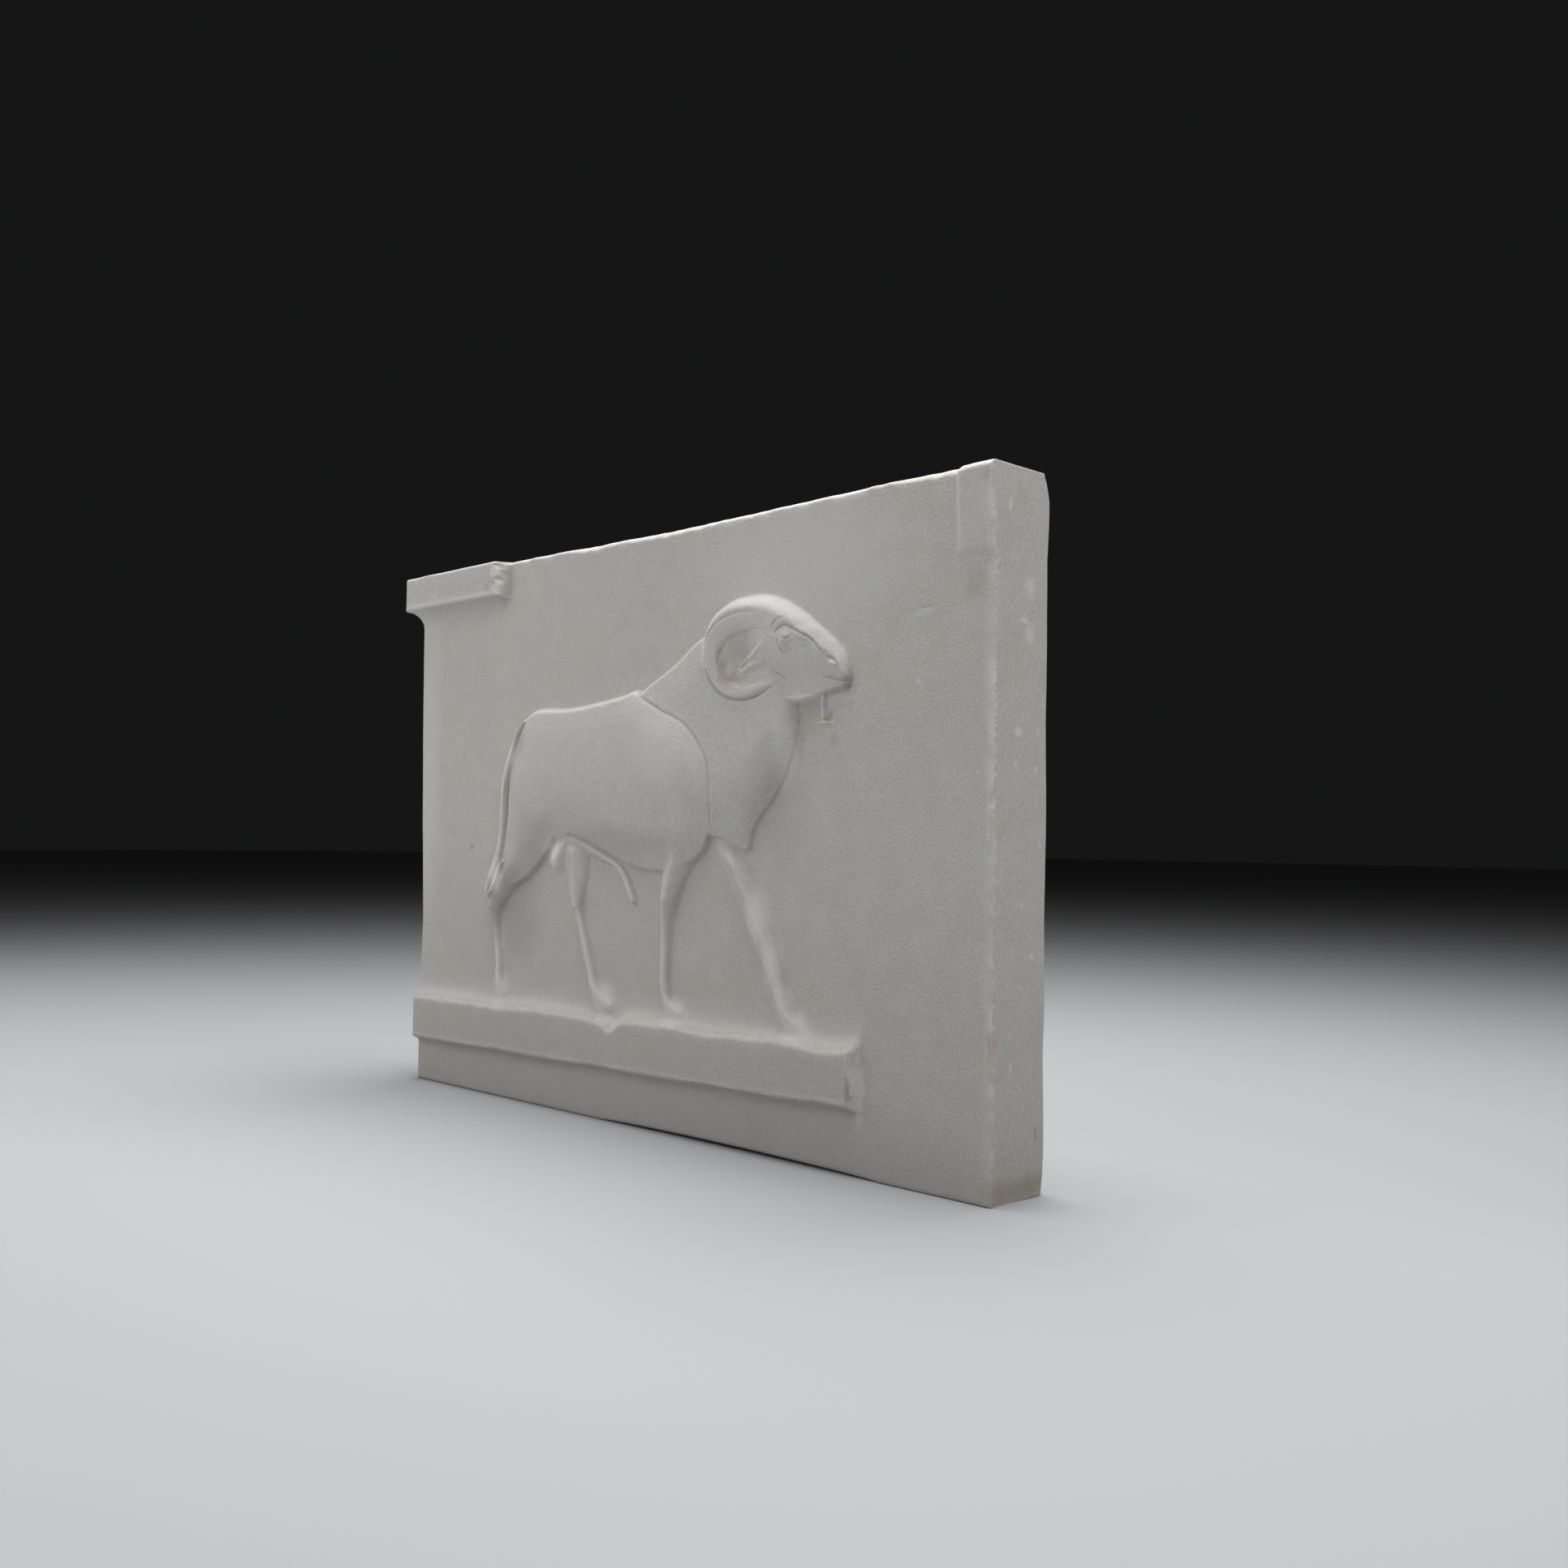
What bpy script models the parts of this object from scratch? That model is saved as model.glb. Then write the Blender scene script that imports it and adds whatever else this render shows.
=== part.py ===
"""Plaster relief plaque: a ram walking to the right on a raised ground ledge.

The plaque is one casting that stands on its lower edge. Its front is a sheet of points whose depth comes
from the shapes carved on it. The sides, the underside and the back close that sheet to one solid.
"""

import bpy
import numpy as np

# The slab, in metres. Its front face looks along -Y, and its lower left corner is the drawing's corner.
HEIGHT = 0.160
WIDTH = 0.231
THICKNESS = 0.020
FRONT_ARRIS = 0.0006
BACK_ARRIS = 0.0004
BACK_ARRIS_WORN = 0.0016
TOP_HOLLOW = 0.0010
FOOT_ARCH = 0.0009
LEFT_FOOT = 0.098
RIGHT_FOOT = 0.032

# How far the hand-trimmed left edge lies inside a straight one: share of the height, then metres
LEFT_EDGE = ((0.0, 0.0019), (0.10, 0.0017), (0.32, 0.0029), (0.55, 0.0012), (0.75, 0.0003), (0.90, 0.0))

# The block at the top left, which sticks out in front and past the left edge over a hollow moulding, and
# runs down to the face in a slope at its right end
CORNICE_LENGTH = 0.0490
CORNICE_HEIGHT = 0.0105
CORNICE_RISE = 0.0048
CORNICE_OVERHANG = 0.0038
CORNICE_HOLLOW = 0.0065
CORNICE_END_SLOPE = 0.0036

# The small block at the top right
TAB_WIDTH = 0.0104
TAB_HEIGHT = 0.0203
TAB_RISE = 0.0020
TAB_ARRIS = 0.0012

# The ground ledge: its left end dies into the left edge, and it climbs a little to the right. The chip in
# its upper edge: place along the slab, half-width, drop.
LEDGE_BOTTOM = 0.0127
LEDGE_HEIGHT = 0.0132
LEDGE_CLIMB = 0.0026
LEDGE_LENGTH = 0.1937
LEDGE_RISE = 0.0032
LEDGE_FILLET = 0.0046
LEDGE_ARRIS = 0.0012
LEDGE_END_SLOPE = 0.0026
LEDGE_END_ROUND = 0.0050
LEDGE_END_RISE = 0.4
LEDGE_CHIP = (0.1006, 0.0036, 0.0022)

# The ram: its height, where its tail begins, how far its hooves stand above the ledge's front edge,
# and how high the carving stands off the face
RAM_HEIGHT = 0.110
RAM_FROM_LEFT = 0.0376
RAM_ABOVE_LEDGE = 0.0026
RAM_RISE = 0.0046
RAM_FILLET = 0.0010

# How far the corners of the carving are worn round, how far changes of a limb's width run on along it, and
# how far the roundness of the body is smoothed
SOFTENING = 0.0004
WIDTH_SOFTNESS = 0.0015
WOOL_SOFTNESS = 0.0024

# The sheet of points and how many faces stay after thinning out what is flat
SHEET_STEP = 0.0008
FACES = 9000
FLATNESS = 0.00005
SHARP_CORNER = 40

# The ram's own drawing follows. It is in hundredths of the ram's height, across from its tail and up from
# its hooves, and heights off the face are in the same unit. FULL_RISE of them make RAM_RISE.
FULL_RISE = 4.0
REACH = 6.0

# A carved form has a wall at its outline, as a share of its rise, and a soft crown inside it. The wall is
# narrow along the under side and wide along the upper side.
WALL_SHARE = 0.5
UNDER_WALL = 0.7
UPPER_WALL = 1.3
UPPER_LOSS = 0.75
THICK_LIMB = 3.0
LEAST_WALL = 0.35
LIMB_EDGE = 0.6
WIDEST_EDGE = 8.0
THICKER_BY = 12.0
OUTSIDE_FALL = 2.0

# How softly neighbouring forms run together
CLOSE_BLEND = 0.3
BODY_BLEND = 0.4
LEG_BLEND = 0.8

# Legs and underparts: the far legs sink behind the body, and all legs get lower at the hooves
NEAR_LEG_RISE = 2.7
FAR_LEG_RISE = 2.1
NEAR_LEG_WALL = 0.6
HOOF_LOWER = 0.55
HOOF_TOP = 8.0
SUNK_WIDTH = 4.0
SUNK_SHARE = 0.6
HIDDEN_WITHIN = 0.5
LEG_FULLNESS = 0.95
SHEATH_RISE = 1.5
SHEATH_WALL = 0.8
SCROTUM_RISE = 2.6
SCROTUM_WALL = 0.35
THIN_FULLNESS = 1.5
FAR_LEG_EDGE = 1.0

# Body: a soft crown inside its wall, lower walls at the chest and the throat, and a shoulder that swells
BODY_RISE = 3.0
BODY_WALL = 0.36
BODY_EDGE = 9.0
THROAT = (100, 42)
THROAT_SPREAD = (12, 30)
THROAT_EDGE = 4.0
THROAT_TOP = (60, 10)
THROAT_TOP_EDGE = 2.0
THROAT_WALL = 0.1
CHEST_WALL = 0.25
SHOULDER_RISE = 1.5
SHOULDER_FROM = 58
SHOULDER_GROWTH = 18
SHOULDER_FOOT = (46, 16)
SHOULDER_EDGE = 5.0
SHOULDER_SPREAD = 15

# Tail, head, beard, horn, ear and eye
TAIL_RISE = 2.4
TAIL_FULLNESS = 2.4
TAIL_WALL = 0.85
TENDON_RISE = 0.9
HEAD_RISE = 3.5
HEAD_UNDER_WALL = 0.7
HEAD_SLANT = 2.3
RIDGE_BLEND = 0.3
JAW_FROM = 90
JAW_DROP = 14
JAW_FALL = 1.35
MUZZLE_FROM = 124
MUZZLE_LENGTH = 14
MUZZLE_FALL = 0.7
BEARD_RISE = 1.5
HORN_RISE = 4.1
HORN_RIM = 2.3
HORN_UNDER_WALL = 0.7
HORN_INNER_FALL = 0.75
HORN_INNER_WIDTH = 4.5
HORN_INNER_POWER = 1.5
HORN_FLOOR = 2.95
HORN_FLOOR_CLIMB = 0.25
HORN_FLOOR_STEP = 0.6
HORN_LOW = (87, 6)
HORN_LOW_RISE = 0.7
HORN_LOW_EDGE = 1.2
HOLLOW_MARGIN = 1.5
TEMPLE_FROM = (107, 83)
TEMPLE_WIDTH = (8.0, 3.0)
TIP_FROM = 110
EAR_RISE = 0.85
EAR_EDGE = 1.5
EAR_SPREAD = 3.0
EAR_END = (116, 6)
EAR_FOOT = (80.8, 3.5)
EAR_OPENING_DEPTH = 0.7
EYE = (121.2, 88.4)
EYE_HALF = (2.3, 2.6)
EYE_RISE = 0.45

# Outlines: across, up
TORSO = (
    (12.9, 58), (14.4, 64.5), (16.8, 70.5), (20.4, 76), (24.5, 78.1), (29, 78.4), (35, 78), (41, 77.7),
    (48, 78), (55, 78.6), (62, 79.3), (68, 80), (76, 76.5), (84, 73), (89.5, 69.5), (93.3, 65.2),
    (95.6, 60.5), (96.2, 54), (95, 47), (91.7, 41), (84, 37.4), (75, 36.5), (69, 37), (64, 38),
    (56, 40.6), (47.8, 43.5), (41, 45), (33, 44), (19, 46.5), (12.9, 52),
)  # fmt: skip
NECK = (
    (66, 76), (70, 80.2), (75, 82.9), (79.2, 85), (84, 87.8), (89, 91), (96, 93), (108, 93),
    (120, 84), (122.6, 75), (122.6, 69), (121.3, 64.5), (118.5, 58.5), (114.8, 53), (111, 49.3),
    (108.8, 46), (107.9, 42.6), (106, 41.8), (103.2, 43), (100, 44.2), (96, 45), (90, 46), (84, 56),
    (76, 68),
)  # fmt: skip
HEAD = (
    (108, 98.3), (113, 98.9), (118, 98.1), (122, 96.2), (126, 93.8), (130, 90.8), (134, 87.6),
    (136.6, 84.9), (138, 81.8), (138.4, 79), (137.6, 77), (134.5, 76.3), (130, 75.4), (125, 74.4),
    (120, 74.6), (116, 75.8), (112, 79), (108, 84), (106, 92),
)  # fmt: skip
HOLLOW = (
    (100.5, 87.2), (101, 89.4), (103, 90.3), (105.9, 91.1), (108.8, 91.4), (111.8, 91.1), (113.7, 90.2),
    (115.3, 87), (115.8, 83), (115.5, 80.4), (112.8, 79.4), (108.8, 79), (105.4, 79.5), (103.9, 80.1),
    (102.5, 81.3), (101.5, 82.8), (100.7, 84.7),
)  # fmt: skip
EAR = (
    (116, 91.4), (112.9, 89), (110.5, 87.2), (108.2, 85.4), (106.3, 83.4), (106.6, 82), (108.6, 81.4),
    (112, 82.4), (116, 84.6), (119, 88),
)  # fmt: skip

# Limbs and other tapered strokes: across, up, half-width
NEAR_HIND_LEG = (
    (25, 58, 12.2), (23.6, 49.5, 11.3), (18.9, 41, 7.9), (15.3, 37, 5.8), (12.2, 33.3, 4.6), (9.3, 29.8, 3.8),
    (7, 26.4, 3.1), (7.2, 22.4, 1.9), (7.9, 17.5, 1.55), (8.6, 13.5, 1.55), (9, 9.5, 1.5), (8.9, 6.5, 1.6),
    (9.4, 4.2, 2), (10.4, 2.2, 2.3),
)  # fmt: skip
FAR_HIND_LEG = (
    (42.5, 42, 6.6), (43.3, 36, 4.8), (43.4, 31, 3.4), (43.8, 27, 2.1), (44.8, 24, 1.7), (46.4, 20, 1.6),
    (48, 15.5, 1.7), (49.6, 11.5, 1.7), (51, 8, 1.9), (52.5, 5, 2.4), (54.6, 3, 2.7), (57, 2.2, 2.2),
)  # fmt: skip
NEAR_FORE_LEG = (
    (85.5, 53, 7.8), (84.6, 46, 6.8), (83, 40, 5.4), (81.2, 34.5, 3.9), (79.8, 29, 2.6), (78.9, 22, 1.8),
    (78.6, 14, 1.7), (78.6, 10, 1.8), (79.4, 6.5, 1.8), (81.3, 3.8, 2.5), (83.8, 2.6, 2.4),
)  # fmt: skip
FAR_FORE_LEG = (
    (99, 46, 3.9), (102.2, 40, 3.9), (105.8, 34, 3.8), (109.2, 28.5, 3.7), (111.8, 24, 3.5),
    (113.8, 20.4, 3.4), (116, 16, 2.6), (117.6, 12, 2.3), (119, 8.5, 2.1), (120.6, 5.6, 2.1),
    (123.3, 3, 2.6), (127, 0.8, 2.2),
)  # fmt: skip
SCROTUM = ((38, 42.4, 3.2), (36.6, 40.4, 4.3), (35.5, 39.1, 4.1))
SHEATH = (
    (36, 44.4, 1.4), (42, 43.4, 1.7), (48, 41.8, 1.6), (54, 39.8, 1.35), (59.5, 37.8, 1.15),
    (62.6, 35.4, 1.2), (64.7, 32, 1.3), (66.4, 29, 0.9),
)  # fmt: skip
TAIL = (
    (20.8, 75.3, 0.9), (18.4, 72.8, 1.3), (16.4, 69.8, 1.7), (14.3, 65.4, 1.9), (12.1, 60.5, 1.5),
    (11.1, 55, 1.25), (10.9, 48, 1.25), (10.5, 44, 1.5), (9.6, 40, 1.9), (7.4, 36, 2.1), (5.7, 33, 1.9),
    (4.6, 31, 1.6), (4.2, 29.8, 1.1),
)  # fmt: skip
TENDON = ((12.4, 37.8, 0.3), (10.6, 35.4, 1), (8.7, 32.6, 1.2), (7, 30, 1), (5.9, 28, 0.3))
BEARD_STALK = ((130.4, 76, 0.8), (130.1, 73.4, 0.65), (130.2, 71, 0.7))
BEARD_FOOT = ((128.3, 69.7, 0.35), (130.3, 70, 0.65), (132.8, 69.6, 0.4))
HORN = (
    (119.5, 94.5, 2.4), (115.5, 95.2, 3.7), (112, 95.6, 4.2), (108.6, 95.7, 4.5), (105, 95.3, 4.8),
    (101.8, 94.7, 4.9), (99.2, 93.5, 4.8), (97.6, 91.4, 4.3), (96.9, 88.4, 3.5), (97.3, 85.2, 3),
    (98.8, 82, 2.4), (101.2, 79.6, 2), (105.2, 78, 1.7), (109, 77.8, 1.5), (112.5, 78.4, 1.25),
    (117, 79.4, 0.8),
)  # fmt: skip
EAR_OPENING = ((107.2, 83.1, 0.3), (108.6, 83.7, 0.9), (110.2, 84.7, 0.8), (111.2, 85.5, 0.2))


def curve_through(points, steps=6, closed=True):
    """Smooth curve that passes through the given rows, with extra rows between them."""
    rows = np.asarray(points, float)
    if closed:
        padded = np.vstack([rows[-1:], rows, rows[:2]])
    else:
        padded = np.vstack([2 * rows[0] - rows[1], rows, 2 * rows[-1] - rows[-2]])
    along = np.linspace(0, 1, steps, endpoint=False)[:, None]
    pieces = []
    for a, b, c, d in zip(padded, padded[1:], padded[2:], padded[3:]):
        bend = (2 * a - 5 * b + 4 * c - d) * along**2 + (3 * b - a - 3 * c + d) * along**3
        pieces.append(b + 0.5 * ((c - a) * along + bend))
    if not closed:
        pieces.append(rows[-1:])
    return np.vstack(pieces)


def close_to(x, z, line, reach):
    """Which places lie within reach of a line, so that only those are measured."""
    low, high = line.min(axis=0) - reach, line.max(axis=0) + reach
    return (x > low[0]) & (x < high[0]) & (z > low[1]) & (z < high[1])


def depth_in_outline(x, z, points):
    """How deep each place lies inside a closed outline; negative outside it."""
    line = curve_through(points)
    close = close_to(x, z, line, REACH)
    px, pz = x[close], z[close]
    nearest = np.full(px.shape, np.inf)
    inside = np.zeros(px.shape, bool)
    for (ax, az), (bx, bz) in zip(line, np.roll(line, -1, axis=0)):
        ex, ez = bx - ax, bz - az
        share = np.clip(((px - ax) * ex + (pz - az) * ez) / (ex * ex + ez * ez), 0, 1)
        nearest = np.minimum(nearest, (px - ax - share * ex) ** 2 + (pz - az - share * ez) ** 2)
        if az != bz:
            crosses = (az > pz) != (bz > pz)
            inside ^= crosses & (px < ax + (pz - az) / (bz - az) * ex)
    depth = np.full(x.shape, -REACH)
    depth[close] = np.where(inside, 1, -1) * np.sqrt(nearest)
    return depth


def depth_in_stroke(x, z, points):
    """How deep each place lies inside a tapered stroke, and the stroke's half-width there."""
    line = curve_through(points, steps=4, closed=False)
    close = close_to(x, z, line, REACH + line[:, 2].max())
    px, pz = x[close], z[close]
    deepest = np.full(px.shape, -np.inf)
    widest = np.zeros(px.shape)
    for (ax, az, aw), (bx, bz, bw) in zip(line, line[1:]):
        ex, ez = bx - ax, bz - az
        share = np.clip(((px - ax) * ex + (pz - az) * ez) / (ex * ex + ez * ez), 0, 1)
        width = aw + share * (bw - aw)
        depth = width - np.hypot(px - ax - share * ex, pz - az - share * ez)
        widest = np.where(depth > deepest, width, widest)
        deepest = np.maximum(deepest, depth)
    depth, half_width = np.full(x.shape, -REACH), np.full(x.shape, 1.0)
    depth[close], half_width[close] = deepest, widest
    return depth, half_width


def rounded(share):
    """Rounded shoulder: 0 at the edge, 1 from a share of 1 inwards."""
    return np.sin(np.clip(share, 0, 1) * np.pi / 2)


def eased(share):
    """Smooth step from 0 to 1."""
    share = np.clip(share, 0, 1)
    return share * share * (3 - 2 * share)


def joined(one, other, blend):
    """The higher of two surfaces, with the corner between them filled over the blend."""
    return np.maximum(one, other) + np.maximum(blend - np.abs(one - other), 0) ** 2 / (4 * blend)


def lower_of(one, other, blend):
    """The lower of two surfaces, with the ridge between them rounded over the blend."""
    return -joined(-one, -other, blend)


def softened(height, cells):
    """The same surface with its corners worn round, over about that many cells."""
    reach = max(1, int(np.ceil(3 * cells)))
    weights = np.exp(-0.5 * (np.arange(-reach, reach + 1) / cells) ** 2)
    weights /= weights.sum()
    for axis in (0, 1):
        padded = np.pad(height, [(reach, reach) if k == axis else (0, 0) for k in (0, 1)], mode="edge")
        count = height.shape[axis]
        height = sum(w * np.take(padded, range(k, k + count), axis) for k, w in enumerate(weights))
    return height


def facing_up(z, depth):
    """How far a form's outline faces up at each place: -1 down, 0 sideways, 1 up."""
    return -np.gradient(depth, axis=0) / np.gradient(z, axis=0)


def wall_width(up, under, upper):
    """Width of the wall round a form: narrow where the outline faces down, wide where it faces up."""
    return under + (upper - under) * eased(0.5 + 0.7 * up)


def limb(x, z, points, rise, fullness, share=WALL_SHARE, edge=LIMB_EDGE):
    """Rounded limb along a stroke: a wall at its outline, then a crown; lower where it is thin."""
    depth, half_width = depth_in_stroke(x, z, points)
    half_width = softened(half_width, WIDTH_SOFTNESS / SHEET_STEP)
    up = softened(facing_up(z, depth), WIDTH_SOFTNESS / SHEET_STEP)
    share = share * np.clip(THICK_LIMB / half_width, LEAST_WALL, 1) * (1 - UPPER_LOSS * eased(1.4 * up))
    wall = share * rounded(depth / wall_width(up, UNDER_WALL, UPPER_WALL))
    edge = np.minimum(edge * half_width * (1 + half_width / THICKER_BY), WIDEST_EDGE)
    crown = (1 - share) * rounded(depth / edge)
    return np.minimum(rise, fullness * half_width) * (wall + crown) + OUTSIDE_FALL * np.minimum(depth, 0)


def limbs_relief(x, z, in_body):
    """The underparts with the far legs, which sink behind the body; and the near legs, which join it."""
    far_legs = joined(
        limb(x, z, FAR_HIND_LEG, FAR_LEG_RISE, LEG_FULLNESS),
        limb(x, z, FAR_FORE_LEG, FAR_LEG_RISE, LEG_FULLNESS, edge=FAR_LEG_EDGE),
        BODY_BLEND,
    )
    near_legs = joined(
        limb(x, z, NEAR_HIND_LEG, NEAR_LEG_RISE, LEG_FULLNESS, NEAR_LEG_WALL),
        limb(x, z, NEAR_FORE_LEG, NEAR_LEG_RISE, LEG_FULLNESS, NEAR_LEG_WALL),
        LEG_BLEND,
    )
    lower = 1 - HOOF_LOWER * eased(1 - z / HOOF_TOP)
    hidden = FAR_LEG_RISE * rounded(in_body / HIDDEN_WITHIN)
    far_legs = far_legs * lower * (1 - SUNK_SHARE * eased(1 + in_body / SUNK_WIDTH)) - hidden
    sheath = limb(x, z, SHEATH, SHEATH_RISE, THIN_FULLNESS, SHEATH_WALL)
    scrotum = limb(x, z, SCROTUM, SCROTUM_RISE, THIN_FULLNESS, SCROTUM_WALL, FAR_LEG_EDGE)
    limbs = joined(joined(far_legs, sheath, CLOSE_BLEND), scrotum, CLOSE_BLEND)
    return limbs, near_legs * lower


def depth_in_body(x, z):
    """How deep each place lies inside the body, and inside its barrel and thigh alone."""
    in_thigh = depth_in_stroke(x, z, NEAR_HIND_LEG[:4])[0]
    in_torso = np.maximum(depth_in_outline(x, z, TORSO), in_thigh)
    return np.maximum(in_torso, depth_in_outline(x, z, NECK)), in_torso


def body_relief(x, z, in_body, in_torso):
    """Barrel of the body with the neck, softer at the chest, and the shoulder that swells before the neck."""
    chest = eased((x - THROAT[0]) / THROAT_SPREAD[0])
    throat = chest * eased((z - THROAT[1]) / THROAT_SPREAD[1])
    share = BODY_WALL + (CHEST_WALL - BODY_WALL) * chest + (THROAT_WALL - CHEST_WALL) * throat
    high = eased((z - THROAT_TOP[0]) / THROAT_TOP[1])
    wool = chest * (THROAT_EDGE - (THROAT_EDGE + THROAT_TOP_EDGE) * high)
    crown = rounded(in_body / (BODY_EDGE + wool))
    swell = eased((x - SHOULDER_FROM) / SHOULDER_GROWTH) * np.exp(-((in_torso / SHOULDER_SPREAD) ** 2))
    swell = swell * rounded(in_torso / SHOULDER_EDGE) * eased((z - SHOULDER_FOOT[0]) / SHOULDER_FOOT[1])
    crown = (1 - share) * crown * BODY_RISE + SHOULDER_RISE * swell
    crown = softened(crown, WOOL_SOFTNESS / SHEET_STEP)
    wall = rounded(in_body / wall_width(facing_up(z, in_body), UNDER_WALL, UPPER_WALL))
    body = share * wall * BODY_RISE + crown * rounded(in_body / UNDER_WALL)
    return body + OUTSIDE_FALL * np.minimum(in_body, 0)


def with_tail(x, z, ram):
    """The tail over the haunch, and the haunch's tendon."""
    depth, half_width = depth_in_stroke(x, z, TENDON)
    ram = ram + TENDON_RISE * rounded(depth / half_width)
    return joined(ram, limb(x, z, TAIL, TAIL_RISE, TAIL_FULLNESS, TAIL_WALL), CLOSE_BLEND)


def head_relief(x, z, in_horn):
    """The skull with the horn's outline, its slanting upper edge, and the beard."""
    in_skull = np.maximum(depth_in_outline(x, z, HEAD), in_horn)
    width = wall_width(facing_up(z, in_skull), HEAD_UNDER_WALL, HEAD_SLANT)
    head = HEAD_RISE * lower_of(in_skull / width, np.ones(x.shape), RIDGE_BLEND)
    head = head - MUZZLE_FALL * eased((x - MUZZLE_FROM) / MUZZLE_LENGTH)
    head = head - JAW_FALL * eased((JAW_FROM - z) / JAW_DROP)
    stalk = limb(x, z, BEARD_STALK, BEARD_RISE, THIN_FULLNESS)
    foot = limb(x, z, BEARD_FOOT, BEARD_RISE, THIN_FULLNESS)
    return joined(head, joined(stalk, foot, CLOSE_BLEND), CLOSE_BLEND)


def with_horn(x, z, ram, in_horn):
    """The horn's band round its floor; both run out into the temple and the cheek on the right."""
    in_hollow = depth_in_outline(x, z, HOLLOW)
    low_part = eased((HORN_LOW[0] - z) / HORN_LOW[1])
    temple = eased((x - TEMPLE_FROM[0]) / TEMPLE_WIDTH[0])
    floor = HORN_FLOOR + HORN_FLOOR_CLIMB * low_part
    floor = floor + (ram - floor) * temple
    ram = np.where(in_hollow > -HOLLOW_MARGIN, np.maximum(ram, floor), ram)
    width = wall_width(facing_up(z, in_horn), HORN_UNDER_WALL, HORN_RIM)
    band = HORN_RISE * lower_of(in_horn / width, np.ones(x.shape), RIDGE_BLEND)
    inwards = np.clip(1 + in_hollow / HORN_INNER_WIDTH, 0, 1) ** HORN_INNER_POWER
    band = band - HORN_INNER_FALL * inwards
    low_band = BODY_RISE + HORN_LOW_RISE * rounded(in_horn / HORN_LOW_EDGE)
    band = band + (low_band - band) * low_part
    above = eased((z - TEMPLE_FROM[1]) / TEMPLE_WIDTH[1])
    tip = eased((x - TIP_FROM) / TEMPLE_WIDTH[0])
    horn = band + (ram - band) * (temple * above + tip * (1 - above))
    horn = np.where(in_horn > 0, np.maximum(horn, np.where(in_hollow > -HOLLOW_MARGIN, floor, 0)), ram)
    return horn + (floor - horn) * rounded(in_hollow / HORN_FLOOR_STEP)


def with_ear(x, z, ram):
    """The ear's ridge, which fades out under the brow, and its opening."""
    depth = depth_in_outline(x, z, EAR)
    ear = EAR_RISE * eased(depth / EAR_EDGE) * np.exp(-((np.maximum(depth, 0) / EAR_SPREAD) ** 2))
    ear = ear * eased((EAR_END[0] - x) / EAR_END[1]) * eased((z - EAR_FOOT[0]) / EAR_FOOT[1])
    return ram + ear - EAR_OPENING_DEPTH * rounded(depth_in_stroke(x, z, EAR_OPENING)[0] / EAR_OPENING[1][2])


def with_eye(x, z, ram):
    """The eyeball."""
    away = np.hypot((x - EYE[0]) / EYE_HALF[0], (z - EYE[1]) / EYE_HALF[1])
    return ram + EYE_RISE * rounded(1 - away)


def ram_relief(x, z):
    """Height of the whole ram above the face, in hundredths of its own height."""
    in_horn = depth_in_stroke(x, z, HORN)[0]
    in_body, in_torso = depth_in_body(x, z)
    limbs, near_legs = limbs_relief(x, z, in_body)
    ram = joined(limbs, body_relief(x, z, in_body, in_torso), BODY_BLEND)
    ram = with_tail(x, z, joined(ram, near_legs, LEG_BLEND))
    ram = joined(ram, head_relief(x, z, in_horn), CLOSE_BLEND)
    ram = with_horn(x, z, ram, in_horn)
    return with_eye(x, z, with_ear(x, z, ram))


def left_edge(z):
    """Left edge of the slab at each height, with the overhanging block above its hollow moulding."""
    heights, insets = np.transpose(LEFT_EDGE)
    trimmed = np.interp(z / HEIGHT, heights, insets)
    return trimmed - (CORNICE_OVERHANG + trimmed) * cavetto(z)


def cavetto(z):
    """Hollow moulding below the block: 0 under it, curving out to 1 at the block's lower edge."""
    foot = HEIGHT - CORNICE_HEIGHT - CORNICE_HOLLOW
    share = np.clip((z - foot) / CORNICE_HOLLOW, 0, 1)
    return 1 - np.sqrt(1 - share**2)


def lower_edge(x):
    """Underside at each place along the slab: flat at both ends, hollow between them."""
    share = np.clip((x - LEFT_FOOT) / (WIDTH - RIGHT_FOOT - LEFT_FOOT), 0, 1)
    return FOOT_ARCH * np.sqrt(np.sin(np.pi * share))


def upper_edge(x):
    """Top of the slab, worn a little hollow between the two blocks."""
    share = np.clip((x - CORNICE_LENGTH) / (WIDTH - TAB_WIDTH - CORNICE_LENGTH), 0, 1)
    return HEIGHT - TOP_HOLLOW * np.sin(np.pi * share) ** 2


def block_relief(x, z):
    """Height of the two blocks at the top above the face, in metres."""
    cornice = CORNICE_RISE * cavetto(z) * eased((CORNICE_LENGTH - x) / CORNICE_END_SLOPE)
    tab = rounded((x - WIDTH + TAB_WIDTH) / TAB_ARRIS) * rounded((z - HEIGHT + TAB_HEIGHT) / TAB_ARRIS)
    return np.maximum(cornice, TAB_RISE * tab)


def ledge_relief(x, z):
    """Height of the ground ledge above the face, in metres: its top is a hollow fillet with a chip in it."""
    above = z - LEDGE_BOTTOM - LEDGE_CLIMB * x / LEDGE_LENGTH
    chip_at, chip_half, chip_drop = LEDGE_CHIP
    chip = chip_drop * np.exp(-(((x - chip_at) / chip_half) ** 4))
    below = LEDGE_HEIGHT + LEDGE_FILLET - above - chip
    hollow = 1 - np.cos(np.clip(below / LEDGE_FILLET, 0, 1) * np.pi / 2)
    end = LEDGE_END_RISE + (1 - LEDGE_END_RISE) * rounded(x / LEDGE_END_ROUND)
    front = hollow * rounded(above / LEDGE_ARRIS) * rounded((LEDGE_LENGTH - x) / LEDGE_END_SLOPE)
    return LEDGE_RISE * front * end


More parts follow.
